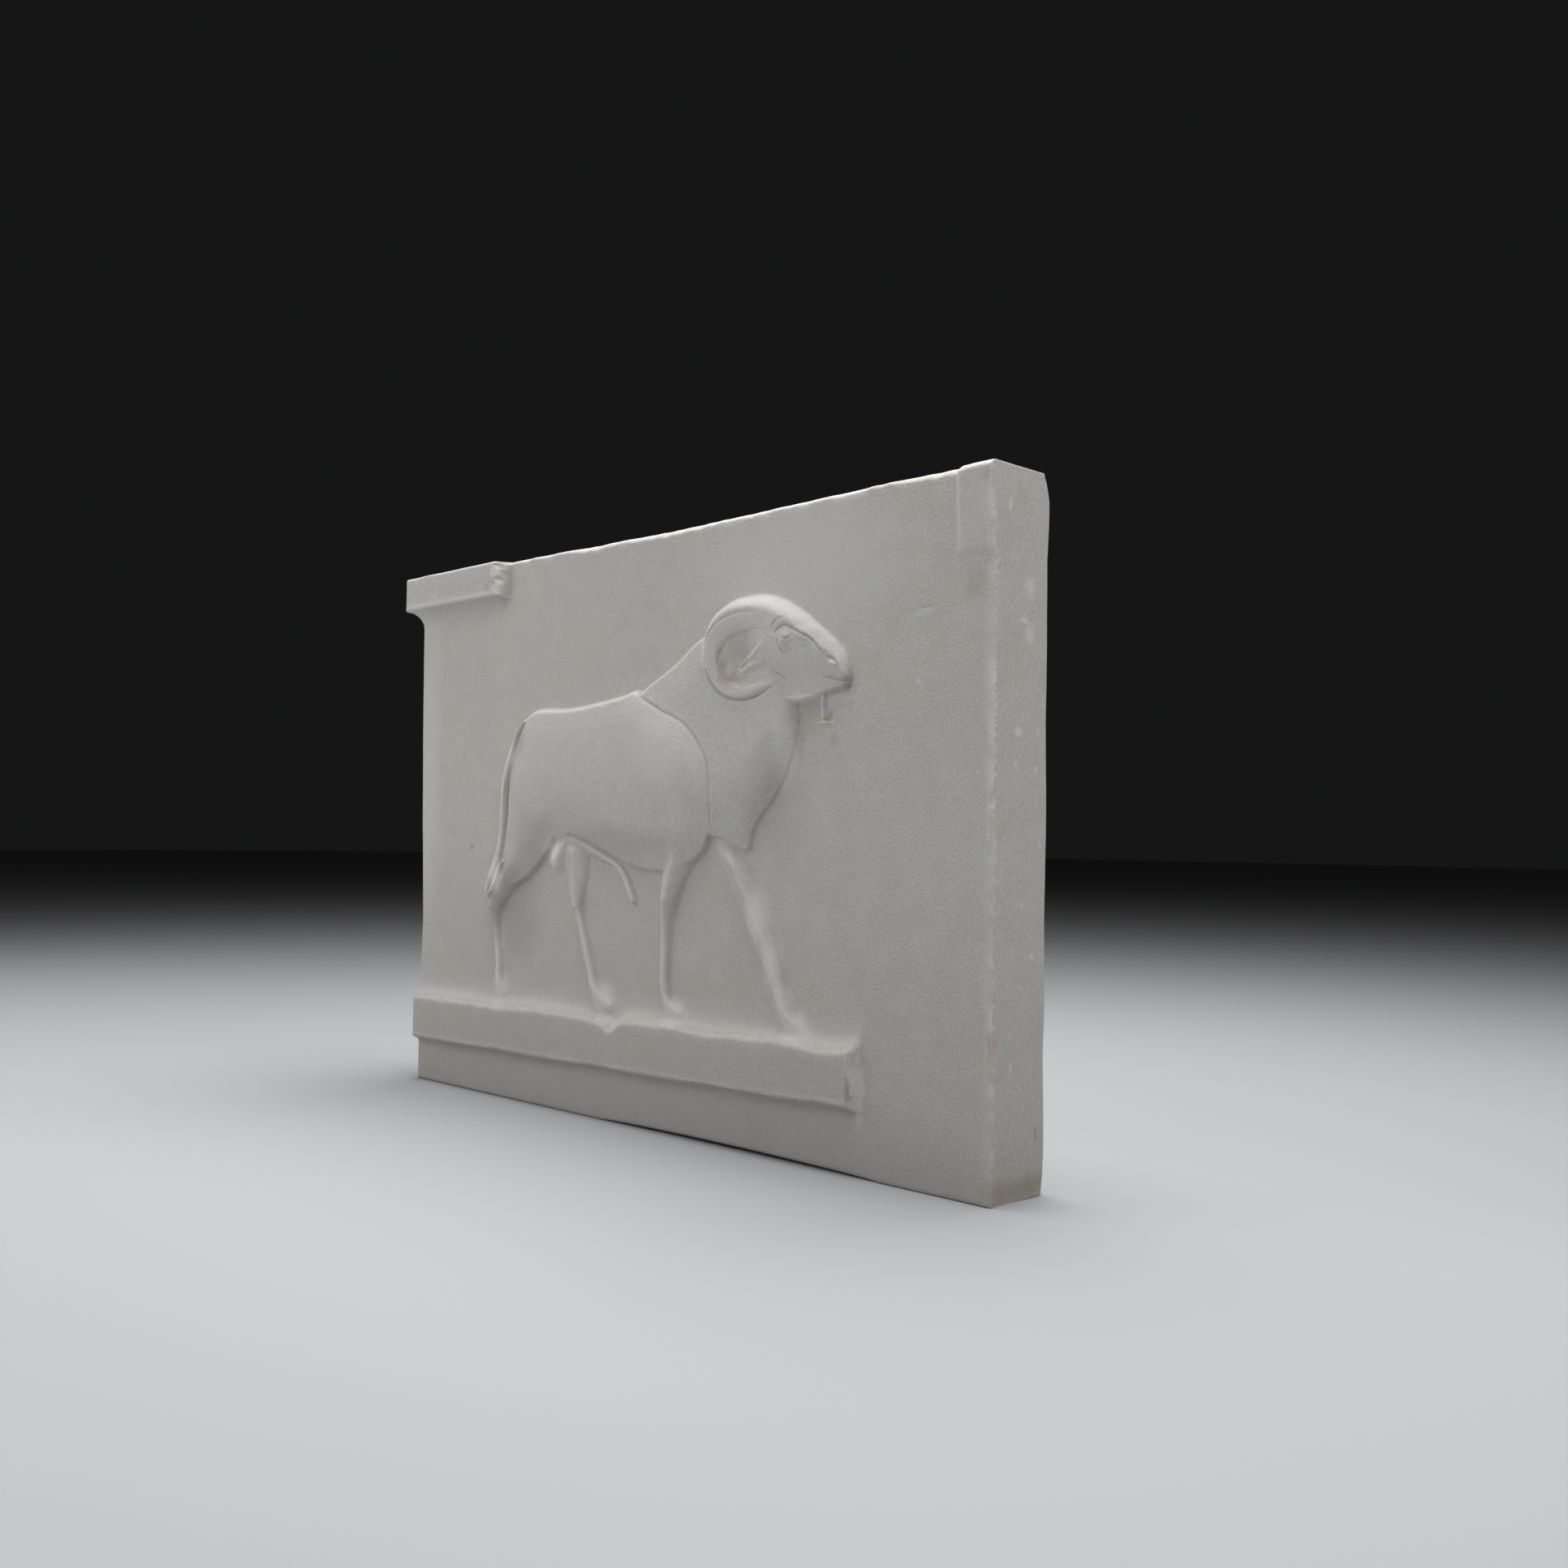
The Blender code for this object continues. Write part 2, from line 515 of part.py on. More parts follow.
def front_sheet():
    """Grid of points over the whole front, in metres, rows from the foot up."""
    columns = round(WIDTH / SHEET_STEP)
    rows = round(HEIGHT / SHEET_STEP)
    x_share, z_share = np.meshgrid(np.linspace(0, 1, columns + 1), np.linspace(0, 1, rows + 1))
    left = left_edge(z_share * HEIGHT)
    x = left + (WIDTH - left) * x_share
    low = lower_edge(x)
    z = low + (upper_edge(x) - low) * z_share
    hundredth = RAM_HEIGHT / 100
    hooves = LEDGE_BOTTOM + LEDGE_HEIGHT + RAM_ABOVE_LEDGE
    ram = ram_relief((x - RAM_FROM_LEFT) / hundredth, (z - hooves) / hundredth)
    ram = np.maximum(ram, 0) * RAM_RISE / FULL_RISE
    relief = joined(ledge_relief(x, z), ram, RAM_FILLET)
    relief = np.maximum(relief, block_relief(x, z))
    relief = softened(relief, SOFTENING / SHEET_STEP)
    edge = np.zeros(relief.shape, bool)
    edge[[0, -1], :] = True
    edge[:, [0, -1]] = True
    y = -relief + FRONT_ARRIS * edge
    return np.stack([x, y, z], axis=-1)


def border_of(rows, columns):
    """Places on the edge of a grid, once round, anticlockwise as seen from the front."""
    bottom = [(0, c) for c in range(columns)]
    right = [(r, columns) for r in range(rows)]
    top = [(rows, c) for c in range(columns, 0, -1)]
    left = [(r, 0) for r in range(rows, 0, -1)]
    return bottom + right + top + left


def slab_mesh():
    """Closed mesh of the plaque: front sheet, sides, worn back edges and flat back."""
    sheet = front_sheet()
    rows, columns = sheet.shape[0] - 1, sheet.shape[1] - 1
    border = border_of(rows, columns)
    rim = np.array([sheet[place] for place in border])
    outward_x = np.array([(c == columns) * 1.0 - (c == 0) for _, c in border])
    outward_z = np.array([(r == rows) * 1.0 - (r == 0) for r, _ in border])
    worn = BACK_ARRIS_WORN - BACK_ARRIS
    wear = BACK_ARRIS + worn * (outward_x > 0) * (1 - rim[:, 2] / HEIGHT)
    side_end = rim.copy()
    side_end[:, 1] = THICKNESS - wear
    back = rim.copy()
    back[:, 0] -= outward_x * wear
    back[:, 1] = THICKNESS
    back[:, 2] -= outward_z * wear

    number = np.arange((rows + 1) * (columns + 1)).reshape(rows + 1, columns + 1)
    faces = []
    for r in range(rows):
        for c in range(columns):
            faces.append((number[r, c], number[r, c + 1], number[r + 1, c + 1], number[r + 1, c]))
    rings = [[number[place] for place in border]]
    first = number.size
    for _ in (side_end, back):
        rings.append(list(range(first, first + len(border))))
        first += len(border)
    for near, far in zip(rings, rings[1:]):
        for k in range(len(border)):
            after = (k + 1) % len(border)
            faces.append((near[k], far[k], far[after], near[after]))
    faces.append(tuple(reversed(rings[-1])))
    points = np.vstack([sheet.reshape(-1, 3), side_end, back])
    low, high = points.min(axis=0), points.max(axis=0)
    points -= ((low[0] + high[0]) / 2, (low[1] + high[1]) / 2, low[2])
    mesh = bpy.data.meshes.new("ram_relief_plaque")
    mesh.from_pydata(points.tolist(), [], [tuple(int(n) for n in face) for face in faces])
    mesh.validate()
    return mesh


def thinned(mesh):
    """The mesh with fewer faces, most of them kept where the surface bends, and its flats pressed true."""
    dense = bpy.data.objects.new("dense_plaque", mesh)
    bpy.context.scene.collection.objects.link(dense)
    triangles = sum(len(face.vertices) - 2 for face in mesh.polygons)
    thinning = dense.modifiers.new("Thinning", "DECIMATE")
    thinning.ratio = FACES / triangles
    graph = bpy.context.evaluated_depsgraph_get()
    light = bpy.data.meshes.new_from_object(dense.evaluated_get(graph))
    bpy.data.objects.remove(dense)
    back = max(vertex.co.y for vertex in light.vertices)
    for vertex in light.vertices:
        if vertex.co.y > back - FLATNESS:
            vertex.co.y = back
        if vertex.co.z < FLATNESS:
            vertex.co.z = 0
    return light


def plaster():
    """Pale cast plaster, matt and a little warm."""
    material = bpy.data.materials.new("plaster")
    material.use_nodes = True
    shader = material.node_tree.nodes["Principled BSDF"]
    shader.inputs["Base Color"].default_value = (0.60, 0.59, 0.56, 1)
    shader.inputs["Roughness"].default_value = 0.85
    shader.inputs["Metallic"].default_value = 0
    return material


for old in list(bpy.data.objects):
    bpy.data.objects.remove(old)

plaque_mesh = thinned(slab_mesh())
plaque_mesh.name = "ram_relief_plaque"
plaque_mesh.materials.append(plaster())
plaque = bpy.data.objects.new("ram_relief_plaque", plaque_mesh)
bpy.context.scene.collection.objects.link(plaque)
plaque_mesh.shade_smooth()
plaque_mesh.set_sharp_from_angle(angle=np.radians(SHARP_CORNER))
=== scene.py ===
"""Plaster relief plaque of a ram that walks on a ledge, finished as a worn cast and lit in a plain studio.

The plaque is one casting, so it is one piece. Its carved front, its four sides and its back are worked out
as sheets of points and joined. The sections follow the plaque from the slab to the ram's eye, then its wear.
"""

import bmesh
import bpy
import numpy as np
from mathutils import Euler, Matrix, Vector


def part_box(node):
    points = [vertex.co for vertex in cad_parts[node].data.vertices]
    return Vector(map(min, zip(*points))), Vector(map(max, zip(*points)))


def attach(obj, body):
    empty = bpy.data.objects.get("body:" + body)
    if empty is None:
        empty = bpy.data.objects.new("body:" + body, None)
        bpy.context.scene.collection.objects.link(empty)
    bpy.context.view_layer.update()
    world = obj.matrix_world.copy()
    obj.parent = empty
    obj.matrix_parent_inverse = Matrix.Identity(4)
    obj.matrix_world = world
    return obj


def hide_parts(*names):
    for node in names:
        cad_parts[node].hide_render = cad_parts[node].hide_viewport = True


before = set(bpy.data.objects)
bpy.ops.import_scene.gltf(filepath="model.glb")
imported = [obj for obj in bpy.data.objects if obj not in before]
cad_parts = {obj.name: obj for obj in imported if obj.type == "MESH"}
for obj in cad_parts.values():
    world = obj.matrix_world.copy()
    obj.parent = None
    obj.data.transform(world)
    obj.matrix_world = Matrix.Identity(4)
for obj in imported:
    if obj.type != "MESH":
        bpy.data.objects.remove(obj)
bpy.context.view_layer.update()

# The slab: a plate of casting plaster, poured face down in a mould and scraped flat on its open back.
# It stands on its lower edge. Sizes are in metres, from the lower left corner of its front face.
HEIGHT = 0.16
WIDTH = 0.231
THICKNESS = 0.02
TOP_HOLLOW = 0.0006
FOOT_ARCH = 0.0009
LEFT_FOOT = 0.098
RIGHT_FOOT = 0.032

# How far the hand-trimmed left edge lies inside a straight one: share of the height, then metres
LEFT_EDGE = ((0, 0.0019), (0.1, 0.0017), (0.32, 0.0029), (0.55, 0.0012), (0.75, 0.0003), (0.9, 0))

# Cells of the sheets of points: how many lie before each place, in metres, along the slab, up it and through
# it. They are about 0.3 mm, closer at the head, and closest at the worn edges.
COLUMN_MARKS = ((0, 0), (8, 0.0012), (424, 0.1366), (700, 0.1916), (824, 0.2298), (832, 0.231))
ROW_MARKS = ((0, 0), (8, 0.0012), (318, 0.101), (514, 0.1402), (568, 0.1588), (576, 0.16))
DEPTH_MARKS = ((0, 0), (8, 0.0012), (56, 0.0182), (64, 0.02))


def rounded(share):
    """Rounded shoulder: 0 at the edge, 1 from a share of 1 inwards."""
    return np.sin(np.clip(share, 0, 1) * np.pi / 2)


def eased(share):
    """Smooth step from 0 to 1."""
    share = np.clip(share, 0, 1)
    return share * share * (3 - 2 * share)


def past(value, ramp):
    """How far a value has come up a ramp, eased: the ramp's start, and its length, negative to run back."""
    return eased((value - ramp[0]) / ramp[1])


KNOTS = 256


def uneven(across, up, size, seed):
    """Smooth unevenness between -1 and 1, with humps and hollows of the given size."""
    knots = np.random.default_rng(seed).uniform(-1, 1, (KNOTS, KNOTS))
    column, row = np.floor(across / size).astype(int), np.floor(up / size).astype(int)
    right, rise = eased(across / size - column), eased(up / size - row)
    column, row = column % KNOTS, row % KNOTS
    next_column, next_row = (column + 1) % KNOTS, (row + 1) % KNOTS
    low = knots[row, column] * (1 - right) + knots[row, next_column] * right
    high = knots[next_row, column] * (1 - right) + knots[next_row, next_column] * right
    return low * (1 - rise) + high * rise


def gritty(across, up, size, seed, finer, share):
    """Unevenness that carries finer unevenness, so many times smaller in size, at a share of its height."""
    return uneven(across, up, size, seed) + share * uneven(across, up, size / finer, seed + 1)


def shares(marks):
    """Places of the points along one side of a sheet, as shares of the side."""
    counts, places = np.transpose(marks)
    return np.interp(np.arange(counts[-1] + 1), counts, places) / places[-1]


# The block at the top left sticks out in front and past the left edge, over a hollow moulding. It was cast
# in one with the slab. The crumbled right end is as the mould gave it.
CORNICE_LENGTH = 0.049
CORNICE_HEIGHT = 0.0105
CORNICE_RISE = 0.0048
CORNICE_OVERHANG = 0.0038
CORNICE_HOLLOW = 0.0065
CORNICE_END_SLOPE = 0.0036
CORNICE_CRUMBLE = 0.0006
CORNICE_CRUMBLE_SIZE = 0.0015
CORNICE_GRIT = (3, 0.4)
CORNICE_RAGGED = 0.7
CRUMBLED_BAND = (4, 1.2)


def cavetto(z):
    """Hollow moulding below the block: 0 under it, curving out to 1 at the block's lower edge."""
    foot = HEIGHT - CORNICE_HEIGHT - CORNICE_HOLLOW
    share = np.clip((z - foot) / CORNICE_HOLLOW, 0, 1)
    return 1 - np.sqrt(1 - share**2)


def cornice_relief(x, z):
    """Height of the block at the top left above the face, in metres."""
    crumbled = gritty(x, z, CORNICE_CRUMBLE_SIZE, 11, *CORNICE_GRIT)
    share = (CORNICE_LENGTH - x + CORNICE_RAGGED * CORNICE_CRUMBLE * crumbled) / CORNICE_END_SLOPE
    in_band = eased(CRUMBLED_BAND[0] * share * (CRUMBLED_BAND[1] - share))
    slope = eased(share) - CORNICE_CRUMBLE / CORNICE_RISE * np.maximum(crumbled, 0) * in_band
    return CORNICE_RISE * cavetto(z) * np.maximum(slope, 0)


# The small block at the top right, a low square of the same casting, flush with the slab's top and right
# side. It is lower towards its foot, where it was rubbed down.
TAB_WIDTH = 0.0104
TAB_HEIGHT = 0.0203
TAB_RISE = 0.002
TAB_ARRIS = 0.0016
TAB_FOOT = 0.4


def tab_relief(x, z):
    """Height of the small block at the top right above the face, in metres."""
    across = rounded((x - WIDTH + TAB_WIDTH) / TAB_ARRIS)
    above = z - HEIGHT + TAB_HEIGHT
    rise = TAB_FOOT + (1 - TAB_FOOT) * eased(above / TAB_HEIGHT)
    return TAB_RISE * rise * across * rounded(above / TAB_ARRIS)


def front_places():
    """Places on the face, across and up, for every point of the front sheet."""
    across, up = np.meshgrid(shares(COLUMN_MARKS), shares(ROW_MARKS))
    heights, insets = np.transpose(LEFT_EDGE)
    trimmed = np.interp(up, heights, insets)
    left = trimmed - (CORNICE_OVERHANG + trimmed) * cavetto(up * HEIGHT)
    x = left + (WIDTH - left) * across
    arch = np.clip((x - LEFT_FOOT) / (WIDTH - RIGHT_FOOT - LEFT_FOOT), 0, 1)
    worn = np.clip((x - CORNICE_LENGTH) / (WIDTH - TAB_WIDTH - CORNICE_LENGTH), 0, 1)
    low = FOOT_ARCH * np.sqrt(np.sin(np.pi * arch))
    high = HEIGHT - TOP_HOLLOW * np.sin(np.pi * worn) ** 2
    return x, low + (high - low) * up


# The ground ledge that the ram walks on: a low band of the same casting, with a hollow top that runs out
# into the face. Its left end dies into the slab's edge, and it climbs a little to the right.
LEDGE_BOTTOM = 0.0127
LEDGE_HEIGHT = 0.0132
LEDGE_CLIMB = 0.0026
LEDGE_LENGTH = 0.1937
LEDGE_RISE = 0.0032
LEDGE_FILLET = 0.0046
LEDGE_ARRIS = 0.0012
LEDGE_END_SLOPE = 0.0026
LEDGE_WAVE = 0.0007
LEDGE_WAVE_SIZE = 0.014
LEDGE_GRIT = (6, 0.3)
LEDGE_FOOT_WAVE = 0.4
LEDGE_END_GRIT = 0.0028
# Chip and humps along the upper edge: place, half-length, depth or height
LEDGE_CHIP = (0.1038, 0.0034, 0.0024)
CHIP_RAGGED = 0.000612
CHIP_GRIT = 0.00102
LEDGE_HUMPS = ((0.04, 0.008, 0.0007), (0.087, 0.01, 0.0006), (0.135, 0.013, 0.0006))
LEDGE_END_ROUND = 0.005
LEDGE_END_RISE = 0.4


def above_ledge_foot(x, z):
    """Height above the ledge's lower edge, which climbs to the right."""
    return z - LEDGE_BOTTOM - LEDGE_CLIMB * x / LEDGE_LENGTH


def humps(along, rows):
    """Soft humps along a line: place, half-length, height."""
    return sum(height * np.exp(-(((along - place) / half) ** 2)) for place, half, height in rows)


def ledge_relief(x, z):
    """Height of the ground ledge above the face, in metres: its top is a hollow fillet."""
    above = above_ledge_foot(x, z)
    wave = LEDGE_WAVE * gritty(x, 0 * z, LEDGE_WAVE_SIZE, 21, *LEDGE_GRIT) + humps(x, LEDGE_HUMPS)
    chip = humps(x + CHIP_RAGGED * uneven(x, z, CHIP_GRIT, seed=24), (LEDGE_CHIP,))
    below = LEDGE_HEIGHT + LEDGE_FILLET - above + wave - chip
    hollow = 1 - np.cos(np.clip(below / LEDGE_FILLET, 0, 1) * np.pi / 2)
    end = LEDGE_END_RISE + (1 - LEDGE_END_RISE) * rounded(x / LEDGE_END_ROUND)
    ragged = LEDGE_WAVE * uneven(x, z, LEDGE_END_GRIT, seed=23)
    foot = rounded((above + LEDGE_FOOT_WAVE * wave) / LEDGE_ARRIS)
    front = hollow * foot * rounded((LEDGE_LENGTH - x + ragged) / LEDGE_END_SLOPE)
    return LEDGE_RISE * front * end


# The ram, carved in low relief in the master that the mould was taken from. Its drawing is in hundredths of
# its height, across from its tail and up from its hooves; FULL_RISE hundredths off the face make RAM_RISE.
RAM_HEIGHT = 0.11
RAM_FROM_LEFT = 0.0376
RAM_ABOVE_LEDGE = 0.0026
RAM_RISE = 0.0046
RAM_FILLET = 0.001
FULL_RISE = 4.0
REACH = 6.0
HUNDREDTH = RAM_HEIGHT / 100
HOOVES = LEDGE_BOTTOM + LEDGE_HEIGHT + RAM_ABOVE_LEDGE

# A carved form has a wall at its outline, as a share of its rise, and a soft crown inside it. The wall is cut
# upright along the under side and slants along the upper side, where it catches the light.
WALL_SHARE = 0.5
UNDER_WALL = 0.35
UPPER_WALL = 1.3
UPPER_LOSS = 0.75
THICK_LIMB = 3.0
LEAST_WALL = 0.35
LIMB_EDGE = 0.6
WIDEST_EDGE = 8.0
THICKER_BY = 12.0
OUTSIDE_FALL = 2.0
UP_TURN = 1.4
WALL_TURN = 0.7

# How softly neighbouring forms run together
CLOSE_BLEND = 0.3
BODY_BLEND = 0.4
LEG_BLEND = 0.8
WIDTH_SOFTNESS = 5


def curve_through(points, steps=6, closed=True):
    """Smooth curve that passes through the given rows, with extra rows between them."""
    rows = np.asarray(points, float)
    if closed:
        padded = np.vstack([rows[-1:], rows, rows[:2]])
    else:
        padded = np.vstack([2 * rows[0] - rows[1], rows, 2 * rows[-1] - rows[-2]])
    along = np.linspace(0, 1, steps, endpoint=False)[:, None]
    pieces = []
    for a, b, c, d in zip(padded, padded[1:], padded[2:], padded[3:]):
        bend = (2 * a - 5 * b + 4 * c - d) * along**2 + (3 * b - a - 3 * c + d) * along**3
        pieces.append(b + 0.5 * ((c - a) * along + bend))
    if not closed:
        pieces.append(rows[-1:])
    return np.vstack(pieces)


def close_to(x, z, line, reach):
    """Which places lie within reach of a line, so that only those are measured."""
    low, high = line.min(axis=0) - reach, line.max(axis=0) + reach
    return (x > low[0]) & (x < high[0]) & (z > low[1]) & (z < high[1])


def depth_in_outline(x, z, points):
    """How deep each place lies inside a closed outline; negative outside it."""
    line = curve_through(points)
    close = close_to(x, z, line, REACH)
    px, pz = x[close], z[close]
    nearest = np.full(px.shape, np.inf)
    inside = np.zeros(px.shape, bool)
    for (ax, az), (bx, bz) in zip(line, np.roll(line, -1, axis=0)):
        ex, ez = bx - ax, bz - az
        share = np.clip(((px - ax) * ex + (pz - az) * ez) / (ex * ex + ez * ez), 0, 1)
        nearest = np.minimum(nearest, (px - ax - share * ex) ** 2 + (pz - az - share * ez) ** 2)
        if az != bz:
            crosses = (az > pz) != (bz > pz)
            inside ^= crosses & (px < ax + (pz - az) / (bz - az) * ex)
    depth = np.full(x.shape, -REACH)
    depth[close] = np.where(inside, 1, -1) * np.sqrt(nearest)
    return depth


def depth_in_stroke(x, z, points):
    """How deep each place lies inside a tapered stroke, and the stroke's half-width there."""
    line = curve_through(points, steps=4, closed=False)
    close = close_to(x, z, line, REACH + line[:, 2].max())
    px, pz = x[close], z[close]
    deepest = np.full(px.shape, -np.inf)
    widest = np.zeros(px.shape)
    for (ax, az, aw), (bx, bz, bw) in zip(line, line[1:]):
        ex, ez = bx - ax, bz - az
        share = np.clip(((px - ax) * ex + (pz - az) * ez) / (ex * ex + ez * ez), 0, 1)
        width = aw + share * (bw - aw)
        depth = width - np.hypot(px - ax - share * ex, pz - az - share * ez)
        widest = np.where(depth > deepest, width, widest)
        deepest = np.maximum(deepest, depth)
    depth, half_width = np.full(x.shape, -REACH), np.full(x.shape, 1.0)
    depth[close], half_width[close] = deepest, widest
    return depth, half_width


def joined(one, other, blend):
    """The higher of two surfaces, with the corner between them filled over the blend."""
    return np.maximum(one, other) + np.maximum(blend - np.abs(one - other), 0) ** 2 / (4 * blend)


def softened(height, cells):
    """The same surface with its corners worn round, over about that many cells."""
    reach = int(np.ceil(3 * cells))
    weights = np.exp(-0.5 * (np.arange(-reach, reach + 1) / cells) ** 2)
    weights /= weights.sum()
    for axis in (0, 1):
        padded = np.pad(height, [(reach, reach) if k == axis else (0, 0) for k in (0, 1)], mode="edge")
        count = height.shape[axis]
        height = sum(w * np.take(padded, range(k, k + count), axis) for k, w in enumerate(weights))
    return height


def lower_of(one, other, blend):
    """The lower of two surfaces, with the ridge between them rounded over the blend."""
    return -joined(-one, -other, blend)


def facing(place, height, axis):
    """How far a surface faces up, along axis 0, or right, along axis 1: its fall at each place."""
    return -np.gradient(height, axis=axis) / np.gradient(place, axis=axis)


def wall_width(up, under, upper):
    """Width of the wall round a form: narrow where the outline faces down, wide where it faces up."""
    return under + (upper - under) * eased(0.5 + WALL_TURN * up)


def limb(x, z, points, rise, fullness, share=WALL_SHARE, edge=LIMB_EDGE):
    """Rounded limb along a stroke: a wall at its outline, then a crown; lower where it is thin."""
    depth, half_width = depth_in_stroke(x, z, points)
    half_width = softened(half_width, WIDTH_SOFTNESS)
    up = softened(facing(z, depth, 0), WIDTH_SOFTNESS)
    share = share * np.clip(THICK_LIMB / half_width, LEAST_WALL, 1) * (1 - UPPER_LOSS * eased(UP_TURN * up))
    wall = share * rounded(depth / wall_width(up, UNDER_WALL, UPPER_WALL))
    edge = np.minimum(edge * half_width * (1 + half_width / THICKER_BY), WIDEST_EDGE)
    crown = (1 - share) * rounded(depth / edge)
    return np.minimum(rise, fullness * half_width) * (wall + crown) + OUTSIDE_FALL * np.minimum(depth, 0)


def groove(x, z, points, steepness=1):
    """Cut line with slanting walls along a stroke: how deep it is, in hundredths."""
    return steepness * np.maximum(depth_in_stroke(x, z, points)[0], 0)


def with_lines(x, z, ram, lines, steepness=1):
    """The surface with lines cut into it."""
    return ram - sum(groove(x, z, line, steepness) for line in lines)


# The legs and the underparts, each a tapered stroke of the same carving: across, up, half-width. The far
# legs are cut lower than the near ones and sink behind the body.
HOOF_LOWER = 0.68
HOOF_RAMP = (8, -8)
SUNK_SHARE = 0.6
SUNK_RAMP = (-4, 4)
HIDDEN_WITHIN = 0.5
# How each of them is cut: its rise, how full it is for its width, its wall's share and its crown's edge
NEAR_LEG_CUT = (2.7, 0.95, 0.42, 0.8)
FAR_HIND_CUT = (2.1, 0.95, 0.4, 0.8)
FAR_FORE_CUT = (2.1, 0.95, 0.4, 1)
SHEATH_CUT = (1.3, 1.5, 0.6)
SCROTUM_CUT = (2.1, 1.5, 0.2, 1)
NEAR_HIND_LEG = (
    (25, 58, 12.2), (23.6, 49.5, 11.3), (18.9, 41, 7.9), (15.3, 37, 5.8), (12.2, 33.3, 4.6), (9.3, 29.8, 3.8),
    (7, 26.4, 3.1), (7.2, 22.4, 1.9), (7.9, 17.5, 1.55), (8.6, 13.5, 1.55), (9, 9.5, 1.5), (8.9, 6.5, 1.6),
    (9.4, 4.2, 2), (10.4, 2.2, 2.3),
)
FAR_HIND_LEG = (
    (42.5, 42, 6.6), (43.3, 36, 4.8), (43.4, 31, 3.4), (43.8, 27, 2.1), (44.8, 24, 1.7), (46.4, 20, 1.6),
    (48, 15.5, 1.7), (49.6, 11.5, 1.7), (51, 8, 1.9), (52.5, 5, 2.4), (54.6, 3, 2.7), (57, 2.2, 2.2),
)
NEAR_FORE_LEG = (
    (85.5, 53, 7.8), (84.6, 46, 6.8), (83, 40, 5.4), (81.2, 34.5, 3.9), (79.8, 29, 2.6), (78.9, 22, 1.8),
    (78.6, 14, 1.7), (78.6, 10, 1.8), (79.4, 6.5, 1.8), (81.3, 3.8, 2.5), (83.8, 2.6, 2.4),
)
FAR_FORE_LEG = (
    (99, 46, 3.9), (102.2, 40, 3.9), (105.8, 34, 3.8), (109.2, 28.5, 3.7), (111.8, 24, 3.5),
    (113.8, 20.4, 3.4), (116, 16, 2.6), (117.6, 12, 2.3), (119, 8.5, 2.1), (120.6, 5.6, 2.1),
    (123.3, 3, 2.6), (127, 0.8, 2.2),
)
SCROTUM = ((38, 42.4, 3.2), (36.6, 40.4, 4.3), (35.5, 39.1, 4.1))
SHEATH = (
    (36, 44.4, 1.4), (42, 43.4, 1.7), (48, 41.8, 1.6), (54, 39.8, 1.35), (59.5, 37.8, 1.15),
    (62.6, 35.4, 1.2), (64.7, 32, 1.3), (66.4, 29, 0.9),
)


def limbs_relief(x, z, in_body):
    """The underparts with the far legs, which sink behind the body; and the near legs, which join it."""
    near_hind, near_fore = limb(x, z, NEAR_HIND_LEG, *NEAR_LEG_CUT), limb(x, z, NEAR_FORE_LEG, *NEAR_LEG_CUT)
    far_hind, far_fore = limb(x, z, FAR_HIND_LEG, *FAR_HIND_CUT), limb(x, z, FAR_FORE_LEG, *FAR_FORE_CUT)
    near_legs, far_legs = joined(near_hind, near_fore, LEG_BLEND), joined(far_hind, far_fore, BODY_BLEND)
    lower = 1 - HOOF_LOWER * past(z, HOOF_RAMP)
    hidden = FAR_HIND_CUT[0] * rounded(in_body / HIDDEN_WITHIN)
    far_legs = far_legs * lower * (1 - SUNK_SHARE * past(in_body, SUNK_RAMP)) - hidden
    limbs = joined(far_legs, limb(x, z, SHEATH, *SHEATH_CUT), CLOSE_BLEND)
    limbs = joined(limbs, limb(x, z, SCROTUM, *SCROTUM_CUT), CLOSE_BLEND)
    return limbs, near_legs * lower


# The barrel of the body with the woolly neck before it, the highest part of the carving but for the head.
# The shoulder swells up behind the crease where the neck's wool ends.
BODY_RISE = 3.0
BODY_WALL = 0.36
BODY_EDGE = 9.0
BACK_WALL = 0.26
BACK_SOFTNESS = 12
CHEST_RAMP = (100, 12)
THROAT_RAMP = (42, 30)
THROAT_EDGE = 4.0
THROAT_TOP_RAMP = (60, 10)
THROAT_TOP_EDGE = 2.0
THROAT_WALL = 0.1
CHEST_WALL = 0.25
SHOULDER_RISE = 1.5
SHOULDER_RAMP = (58, 18)
SHOULDER_FOOT_RAMP = (46, 16)
SHOULDER_EDGE = 5.0
SHOULDER_SPREAD = 15
WOOL_SOFTNESS = 8
CREASE_STEEPNESS = 0.8
SHOULDER_CREASE = (
    (69, 79.3, 0.1), (70.8, 78.5, 0.4), (73.1, 77.5, 0.5), (75.5, 76.5, 0.5), (79.7, 74.6, 0.5),
    (83.8, 73.2, 0.5), (87.8, 71.1, 0.5), (91.2, 68.1, 0.45), (94, 64.7, 0.45), (95.7, 61.4, 0.4),
    (96.2, 54.8, 0.3), (96, 49.9, 0.3), (95.4, 45, 0.2),
)
TORSO = (
    (12.9, 58), (14.4, 64.5), (16.8, 70.5), (20.4, 76), (24.5, 78.1), (29, 78.4), (35, 78.1), (41, 78),
    (48, 78.5), (55, 79.2), (62, 80), (68, 80.7), (76, 76.5), (84, 73), (89.5, 69.5), (93.3, 65.2),
    (95.6, 60.5), (96.2, 54), (95, 47), (91.7, 41), (84, 37.4), (75, 36.5), (69, 37), (64, 38),
    (56, 40.6), (47.8, 43.5), (41, 45), (33, 44), (19, 46.5), (12.9, 52),
)
